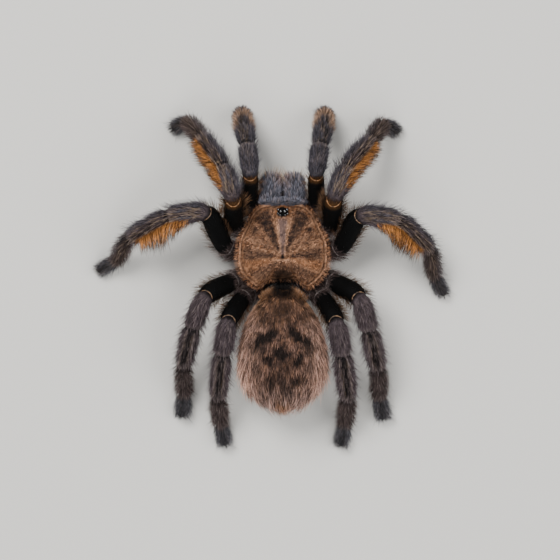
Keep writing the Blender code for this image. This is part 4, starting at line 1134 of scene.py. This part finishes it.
def skin_material():
    """Cuticle: dark, finely wrinkled and dull, in the coat's own markings darkened by
    painted shade.

    The painted shade stands for the tufts' shadow where the skin shows between them, so that
    a thin place never looks bald."""
    look, tree, add, shader = new_look("hairy cuticle")
    coat = add("ShaderNodeAttribute", attribute_name="coat")
    place = add("ShaderNodeTexCoord").outputs["Object"]
    cloud = add("ShaderNodeTexNoise", {"Vector": place, "Scale": 0.9 * PER_MM, "Detail": 3.0})
    # Painted shade: the coat's colour is darkened to 0.3 to 0.75 of itself, for the tufts' shadow
    shade = add("ShaderNodeMapRange", {
        "Value": cloud, "From Min": 0.3, "From Max": 0.7, "To Min": 0.3, "To Max": 0.75})
    darker = add("ShaderNodeVectorMath", {0: coat, "Scale": shade}, operation="SCALE")
    grain = add("ShaderNodeTexNoise", {"Vector": place, "Scale": 5.0 * PER_MM, "Detail": 2.0})
    wrinkles = add("ShaderNodeBump", {
        "Height": grain, "Strength": 0.6, "Distance": 0.12 * MM})
    fill(tree, shader, {"Base Color": darker, "Normal": wrinkles, "Roughness": 0.75,
                        "Specular IOR Level": 0.08})
    return look


def membrane_material(name, tone):
    """Bare joint membrane, stretched over the joint: waxy, and worn to dark in places.

    Its broken tone keeps the thin pale rims from looking like drawn lines."""
    look, tree, add, shader = new_look(name)
    place = add("ShaderNodeTexCoord").outputs["Object"]
    cloud = add("ShaderNodeTexNoise", {"Vector": place, "Scale": 1.5 * PER_MM, "Detail": 2.0})
    share = add("ShaderNodeMapRange", {"Value": cloud, "From Min": 0.38, "From Max": 0.62})
    worn = (*[c * 0.15 for c in tone], 1.0)
    blend = add("ShaderNodeMix", {"Factor": share, 6: worn, 7: (*tone, 1.0)}, data_type="RGBA")
    fill(tree, shader, {"Base Color": blend.outputs[2], "Roughness": 0.35})
    return look


def horn_material(name, code, roughness, refraction=1.56):
    """Bare hard cuticle, polished by growth and wear, for eyes and fangs.

    It is near black with a sharp highlight, and a faint cloud in it breaks the flat tone."""
    look, tree, add, shader = new_look(name)
    place = add("ShaderNodeTexCoord").outputs["Object"]
    cloud = add("ShaderNodeTexNoise", {"Vector": place, "Scale": 1.4 * PER_MM, "Detail": 2.0})
    blend = add("ShaderNodeMix", {
        "Factor": cloud, 6: (*linear(code), 1.0), 7: (*linear("050405"), 1.0)}, data_type="RGBA")
    fill(tree, shader, {"Base Color": blend.outputs[2], "Roughness": roughness,
                        "IOR": refraction})
    return look


# Operators


class TARANTULA_OT_stage(bpy.types.Operator):
    """Sets up the camera, floor and soft light"""
    bl_idname = "tarantula.stage"
    bl_label = "Camera and light"

    def execute(self, context):
        scene = context.scene
        height = scene.tarantula_sizes.camera_height
        camera = new_object("camera", bpy.data.cameras.new("camera"))
        camera.location = Vector(VIEW_MIDDLE) * MM + Vector(SHIFT) + Vector((0, 0, height))
        camera.rotation_euler = (0, 0, math.pi)
        camera.data.sensor_width = SENSOR_WIDTH
        camera.data.lens = SENSOR_WIDTH * height / (PHOTO_WIDTH * MM)
        camera.data.clip_start = 0.01
        scene.camera = camera
        floor_mesh = bpy.data.meshes.new("floor")
        floor_mesh.from_pydata([(x * FLOOR_REACH, y * FLOOR_REACH, 0) for x, y in (
            (-1, -1), (1, -1), (1, 1), (-1, 1))], [], [(0, 1, 2, 3)])
        paper, tree, _, shader = new_look("matt paper")
        fill(tree, shader, {"Base Color": (*linear("cfccc6"), 1), "Roughness": 0.9})
        floor_mesh.materials.append(paper)
        new_object("floor", floor_mesh)
        for name, (place, size, power) in LAMPS.items():
            lamp = new_object(name, bpy.data.lights.new(name, "AREA"))
            lamp.data.size = size
            lamp.data.energy = power
            lamp.location = place
            lamp.rotation_euler = (-Vector(place)).to_track_quat("-Z", "Y").to_euler()
        world = bpy.data.worlds.new("soft room")
        world.use_nodes = True
        fill(world.node_tree, world.node_tree.nodes["Background"],
             {"Color": (0.9, 0.95, 1.0, 1), "Strength": 0.45})
        scene.world = world
        return {"FINISHED"}


class TARANTULA_OT_skin(bpy.types.Operator):
    """Makes the one skin that lies under every coat"""
    bl_idname = "tarantula.skin"
    bl_label = "Skin"

    def execute(self, context):
        sizes, _ = chosen()
        every = list(forms().values())
        shell = new_object("skin_shell", grid_mesh("skin_shell", every, closed=True))
        remesh = shell.modifiers.new("one skin", "REMESH")
        remesh.mode = "VOXEL"
        remesh.voxel_size = sizes.skin_grain
        smooth = shell.modifiers.new("smooth", "SMOOTH")
        smooth.factor, smooth.iterations = 0.5, 4
        mesh = evaluated_mesh(shell)
        mesh.shade_smooth()
        # Each point of the skin takes the markings of the nearest place on the forms
        places = np.concatenate([form.place.reshape(-1, 3) for form in every]) * MM + SHIFT
        coats = np.concatenate([form.coat.reshape(-1, 3) for form in every])
        tree = KDTree(len(places))
        for number, place in enumerate(places):
            tree.insert(place, number)
        tree.balance()
        near = [tree.find(vert.co)[1] for vert in mesh.vertices]
        tones = np.append(coats[near], np.ones((len(near), 1)), 1).astype(np.float32)
        mesh.attributes.new("coat", "FLOAT_COLOR", "POINT").data.foreach_set("color", tones.ravel())
        mesh.materials.clear()
        mesh.materials.append(skin_material())
        skin = new_piece("skin", mesh)
        flesh = [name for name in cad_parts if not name.startswith(("eye_", "fang_"))]
        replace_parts(skin, *flesh)
        return {"FINISHED"}


class TARANTULA_OT_shield_coat(bpy.types.Operator):
    """Covers the carapace with short hair and fringes its edge"""
    bl_idname = "tarantula.shield_coat"
    bl_label = "Shield coat"

    def execute(self, context):
        sizes, _ = chosen()
        form = forms()["shield"]
        across, along, _ = np.moveaxis(form.place, -1, 0)
        look = hair_material("short shield hair", 0.35, 1.8, 0.95)
        grow("shield_coat", [form], look, "carapace_hair", seed=11, density=17,
             length=sizes.shield_hair, width=0.13, lift=0.3, spread=0.35, sway=0.6,
             sway_size=600.0, curl=0.15, chance=0.45, lock_size=3500.0)
        grow("eye_hill_coat", [forms()["eye_hill"]], look, "carapace_hair", seed=13, density=30,
             length=0.5 * MM, width=0.07, thickness=0.04, lift=0.25, sway_size=700.0, curl=0.15)
        ahead = band(across, 0, 2.0, 4.0) * (along < -11.0)
        rim = changed(form, density=form.density * ramp(form.share, 0.975, 0.99),
                      long=0.7 + 0.3 * ramp(along, -9.0, -2.0) + 0.5 * ahead,
                      lie=unit(form.place - np.array((0, CARAPACE_MIDDLE, CARAPACE_UNDERSIDE))))
        grow("shield_rim", [rim], look, "carapace_hair", seed=12, density=30,
             length=sizes.rim_hair, width=0.06, thickness=0.04, lift=0.3, spread=0.65,
             sway_size=500.0, chance=0.5)
        return {"FINISHED"}


class TARANTULA_OT_abdomen_coat(bpy.types.Operator):
    """Covers the abdomen with fur and long hair that lies backwards"""
    bl_idname = "tarantula.abdomen_coat"
    bl_label = "Abdomen coat"

    def execute(self, context):
        sizes, colours = chosen()
        form = forms()["abdomen"]
        across, _, up = np.moveaxis(form.place, -1, 0)
        fur = hair_material("abdomen fur", 0.35, 0.9, 0.75)
        grow("abdomen_fur", [form], fur, "abdomen_hair", seed=21, density=8,
             length=sizes.abdomen_fur, width=0.15, thickness=0.07, lift=0.3, spread=0.25,
             sway=0.6, sway_size=350.0, curl=0.12, chance=0.3)
        hair = hair_material("abdomen guard hair", 0.45, 2.1, 0.8)
        # Long hair thins out over the dark marks and stands longest at the outline
        above = 0.35 + 0.65 * ramp(up, 5.0, 12.0)
        edge = np.maximum(ramp(np.abs(across), 6.5, 10.0), ramp(form.along, 0.45, 0.8))
        over = changed(form, density=above * (1 - 0.82 * form.far) * (1.2 - 0.2 * edge),
                       coat=form.far_coat, long=form.long * (0.58 + 0.42 * edge))
        grow("abdomen_hair", [over], hair, "abdomen_hair", seed=22, density=7.5,
             length=sizes.abdomen_hair, width=0.11, thickness=0.07, lift=0.33, spread=0.28,
             sway=0.7, sway_size=260.0, bends=3, chance=0.35, ragged=1.2, lock_size=1800.0)
        dark = hair_material("waist hair", 0.7, 1.5)
        front = changed(form, coat=mix(form.coat, colours.abdomen_mark, band(across, 0, 1.5, 2.0)),
                        density=band(form.along, -1, 0.06, 0.12) * ramp(up, 7, 10),
                        lie=unit(form.out * 0.9 + np.array((0, -0.8, 0.5))))
        grow("waist_hair", [forms()["waist"]], dark, "abdomen_hair", seed=24, density=12,
             length=2.8 * MM, sway=0.4)
        grow("abdomen_collar", [front], dark, "abdomen_hair", seed=23, density=13,
             length=3.2 * MM, width=0.11, thickness=0.07, sway=0.5, curl=-0.15, bends=3)
        return {"FINISHED"}


class TARANTULA_OT_leg_coats(bpy.types.Operator):
    """Covers the legs and palps with short fur and longer hair"""
    bl_idname = "tarantula.leg_coats"
    bl_label = "Leg coats"

    def execute(self, context):
        sizes, colours = chosen()
        fur = hair_material("leg fur", 0.5, 1.6, 0.55, 0.06)
        hair = hair_material("leg guard hair", 0.8, 1.8, 0.5, 0.15)
        lines = []
        for number, pair in enumerate(SEGMENTS):
            pairs = both(pair)
            grow(f"{pair}_fur", pairs, fur, "leg_hair", seed=31 + number, density=9.5,
                 length=sizes.leg_fur, thickness=0.05, spread=0.12, sway=0.12, sway_size=400.0,
                 curl=0.12, chance=0.5, lock_size=3500.0)
            longer = []
            for form in pairs:
                # Long hair stands off the flanks and hips, and the tops of the femora are bald
                flank = ramp(np.abs(form.around - 90), 35, 80)
                hip = 1 - ramp(form.progress, 1.0, 1.25)
                out = 1 - 0.85 * ramp(form.progress, 4.9, 5.1)
                bald = 1 - 0.9 * (1 - flank) * ramp(form.progress, 1.0, 1.2) * (
                    1 - ramp(form.progress, 1.95, 2.1))
                raised = form.way + form.out * (0.35 + 0.45 * flank + 0.5 * hip)[..., None]
                femur = (1 - hip) * (1 - ramp(form.progress, 1.9, 2.0))
                coat = mix(form.coat, np.array(colours.abdomen_front) * 0.4, femur * flank)
                coat = mix(coat, colours.hip_hair, hip)
                longer.append(changed(form, density=(0.35 + 0.65 * flank) * out * bald,
                                      lie=unit(raised), long=0.65 + 0.35 * flank, coat=coat))
            tone = np.array(colours.streak if pair in FRONT_PAIRS else colours.hip_hair)
            lines.extend(changed(form, density=form.pale, long=0.6 + 0.4 * form.pale,
                                 coat=np.broadcast_to(tone, form.coat.shape),
                                 lie=unit(form.way + 0.28 * form.out)) for form in pairs)
            grow(f"{pair}_hair", longer, hair, "leg_hair", seed=41 + number, density=4,
                 length=sizes.leg_hair * (0.7 if pair == "palp" else 1.0), sway=0.5, curl=0.06,
                 chance=0.35)
        pale = hair_material("pale leg bristle", 0.8, 1.6, 0.4, 0.2)
        grow("leg_lines", lines, pale, "leg_hair", seed=47, density=10, length=3.4 * MM,
             width=0.07, thickness=0.05, spread=0.05, sway=0.08, curl=0.05, chance=0.35)
        return {"FINISHED"}


class TARANTULA_OT_joint_rims(bpy.types.Operator):
    """Lays a thin bare rim over the end of each femur"""
    bl_idname = "tarantula.joint_rims"
    bl_label = "Joint rims"

    def execute(self, context):
        _, colours = chosen()
        ends = [(pair, RIM_PLACE, tilt) for pair, tilt in RIM_TILT.items()]
        hips = [(pair, *rim) for pair in SEGMENTS if pair != "palp" for rim in HIP_RIMS]
        for name, rims, tone, stands in (
                ("brown", ends[:2], colours.ring, 1.03),
                ("pale", ends[2:], mix(colours.streak, colours.ring, np.array(0.5)), 1.03),
                ("hip", hips, colours.hip_hair, 1.16)):
            look = membrane_material(f"{name} joint membrane", tone)
            arcs = []
            for pair, at, tilt in rims:
                for form in both(pair):
                    high = np.sin(np.radians(form.around[0]))
                    middle = places_at(form, at - tilt * np.maximum(high, 0) ** 2)
                    kept = np.abs(form.around[0] - 90) < RIM_HALF_TURN
                    centre = middle[:-1].mean(0)
                    arc = centre + (middle[kept] - centre) * stands
                    share = np.linspace(-1, 1, len(arc))
                    radii = RIM_RADIUS * (0.25 + 0.75 * (1 - share ** 4)) * (
                        0.5 + 0.8 * wander(share, 0.35, 7 * len(arcs)))
                    arcs.append(new_form(tube(arc, radii, 10, 2), tone))
            finish_shell(grid_mesh(f"{name}_joint_rims", arcs, closed=True), look)
        return {"FINISHED"}


class TARANTULA_OT_fringe(bpy.types.Operator):
    """Grows the golden fringe behind the first two pairs of legs"""
    bl_idname = "tarantula.fringe"
    bl_label = "Golden fringe"

    def execute(self, context):
        sizes, colours = chosen()
        look = hair_material("golden fringe hair", 0.55, 1.5, 0.95, 0.2, "2c1d15", 0.45)
        for number, (pair, size, lean, bright) in enumerate((
                ("leg_1", sizes.fringe_1, 36, 0.8), ("leg_2", sizes.fringe_2, 22, 1.0))):
            tilt = math.radians(lean)
            low, high = GOLD_SPAN[pair]
            rows = []
            for form in both(pair):
                aside = unit(form.rear + 0.3 * form.out)
                lie = unit(aside * math.cos(tilt) + form.way * math.sin(tilt))
                long = 0.3 + 0.7 * ramp(form.progress, low, low + 0.7) * (
                    1 - 0.35 * ramp(form.progress, high - 0.5, high))
                coat = np.broadcast_to(np.array(colours.gold) * bright, form.coat.shape)
                rows.append(changed(form, lie=lie, density=form.gold, long=long, coat=coat))
            grow(f"{pair}_fringe", rows, look, "leg_hair", seed=51 + number, density=17,
                 length=size, width=0.08, spread=0.16, sway=0.4, sway_size=800.0, curl=0.04,
                 bends=3, chance=0.5, ragged=1.6, lock_size=2600.0)
        return {"FINISHED"}


class TARANTULA_OT_jaw_coat(bpy.types.Operator):
    """Covers the jaws with velvet and gives their front ends bristles"""
    bl_idname = "tarantula.jaw_coat"
    bl_label = "Jaw coat"

    def execute(self, context):
        sizes, colours = chosen()
        velvet = hair_material("jaw velvet", 0.5, 1.7, 0.65)
        grow("jaw_fur", both("jaw"), velvet, "jaw_hair", seed=61, density=18,
             length=sizes.jaw_fur, width=0.12, lift=0.12, spread=0.2, sway_size=900.0,
             curl=0.05, chance=0.5, ragged=0.8, lock_size=3500.0)
        grow("face_fur", [forms()["face"]], velvet, "jaw_hair", seed=63, density=18,
             length=1.3 * MM, lift=0.1, sway_size=900.0, curl=0.05, chance=0.5,
             lock_size=3500.0)
        look = hair_material("jaw bristle", 0.8, 1.6)
        fronts = []
        for form in both("jaw"):
            # Bristles grow at the front end and along the gap between the jaws
            inner = band(np.abs(form.place[..., 0]), 0, 0.9, 0.6) * ramp(form.front, 0.1, 0.3)
            density = np.maximum(ramp(form.front, 0.6, 0.9), inner)
            density = density * ramp(form.place[..., 2], 5.5, 8.0)
            coat = mix(form.coat, colours.streak, ramp(form.front, 0.4, 0.8))
            fronts.append(changed(form, density=density, coat=coat))
        grow("jaw_bristles", fronts, look, "jaw_hair", seed=62, density=2.6,
             length=sizes.jaw_bristle, width=0.08, lift=0.2, spread=0.35, sway=0.6,
             sway_size=500.0, curl=0.0, bends=3, chance=0.35)
        return {"FINISHED"}


class TARANTULA_OT_eyes(bpy.types.Operator):
    """Sets eight glossy lenses on the eye hill"""
    bl_idname = "tarantula.eyes"
    bl_label = "Eyes"

    def execute(self, context):
        look = horn_material("eye lens", "0c0806", 0.04, 2.2)
        wide, long, high = EYE_HILL_SIZE
        for name, across, along, half_wide, half_long in EYES:
            for side, sign in SIGNS.items():
                x, y = across * sign, along - EYE_HILL[1]
                z = high * math.sqrt(1 - (x / wide) ** 2 - (y / long) ** 2)
                out = Vector((x / wide ** 2, y / long ** 2, z / high ** 2)).normalized()
                turn = np.array(out.to_track_quat("Z", "Y").to_matrix())
                lens = ball((0, 0, 0), (half_wide * 1.1, half_long * 1.1, half_wide * 1.05), 16, 24)
                lens = lens @ turn.T + np.array((x, along, eye_hill_z() + z)) + np.array(out) * 0.08
                mesh = grid_mesh(f"lens_{name}_{side}", [new_form(lens, (0, 0, 0))], closed=True)
                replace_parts(finish_shell(mesh, look), f"eye_{name}_{side}")
        return {"FINISHED"}


class TARANTULA_OT_fangs(bpy.types.Operator):
    """Hangs a curved fang below each jaw"""
    bl_idname = "tarantula.fangs"
    bl_label = "Fangs"

    def execute(self, context):
        look = horn_material("fang horn", "1c0d08", 0.18)
        close = (FANG_PLACE - JAW_CLOSES) / (1 - JAW_CLOSES)
        radius = JAW_RADIUS * (1 - JAW_TAPER * FANG_PLACE - JAW_END * close * FANG_PLACE ** 6)
        middle = JAW_MIDDLE_Z + (JAW_RAISED - JAW_DROOP * FANG_PLACE ** 2) * JAW_HEIGHT_SHARE
        for side, sign in SIGNS.items():
            root = np.array(((JAW_X - JAW_INWARD * FANG_PLACE) * sign,
                             JAW_BACK + (JAW_FRONT - JAW_BACK) * FANG_PLACE,
                             middle - radius * JAW_HEIGHT_SHARE - FANG_GAP))
            points, radii = [root + (0, 0, FANG_ROOT)], [FANG_RADIUS + FANG_TIP]
            for step in range(FANG_STEPS + 1):
                share = step / FANG_STEPS
                turn = math.radians(FANG_TURN * share)
                points.append(root + np.array((0, FANG_REACH * (1 - math.cos(turn)),
                                               -FANG_DROP * math.sin(turn))))
                radii.append(FANG_RADIUS * (1 - share ** 1.6) + FANG_TIP * (1 - share ** 8))
            mesh = grid_mesh(f"fang_horn_{side}", [new_form(tube(points, radii), (0, 0, 0))],
                             closed=True)
            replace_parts(finish_shell(mesh, look), f"fang_{side}")
        return {"FINISHED"}


class TARANTULA_PT_panel(bpy.types.Panel):
    """Lists the pieces of the tarantula"""
    bl_idname = "TARANTULA_PT_panel"
    bl_label = "Tarantula"
    bl_space_type = "VIEW_3D"
    bl_region_type = "UI"
    bl_category = "Tarantula"

    def draw(self, context):
        for operator in OPERATORS:
            self.layout.operator(operator.bl_idname)
        for group in (context.scene.tarantula_sizes, context.scene.tarantula_colours):
            for name in group.__annotations__:
                self.layout.prop(group, name)


OPERATORS = (TARANTULA_OT_stage, TARANTULA_OT_skin, TARANTULA_OT_shield_coat,
             TARANTULA_OT_abdomen_coat, TARANTULA_OT_leg_coats, TARANTULA_OT_joint_rims,
             TARANTULA_OT_fringe, TARANTULA_OT_jaw_coat, TARANTULA_OT_eyes, TARANTULA_OT_fangs)
CLASSES = (TarantulaSizes, TarantulaColours, *OPERATORS, TARANTULA_PT_panel)


def register():
    for kind in CLASSES:
        bpy.utils.register_class(kind)
    bpy.types.Scene.tarantula_sizes = bpy.props.PointerProperty(type=TarantulaSizes)
    bpy.types.Scene.tarantula_colours = bpy.props.PointerProperty(type=TarantulaColours)


def unregister():
    del bpy.types.Scene.tarantula_sizes
    del bpy.types.Scene.tarantula_colours
    for kind in reversed(CLASSES):
        bpy.utils.unregister_class(kind)


def main():
    register()
    for operator in OPERATORS:
        group, name = operator.bl_idname.split(".")
        getattr(getattr(bpy.ops, group), name)()


if __name__ == "__main__":
    main()
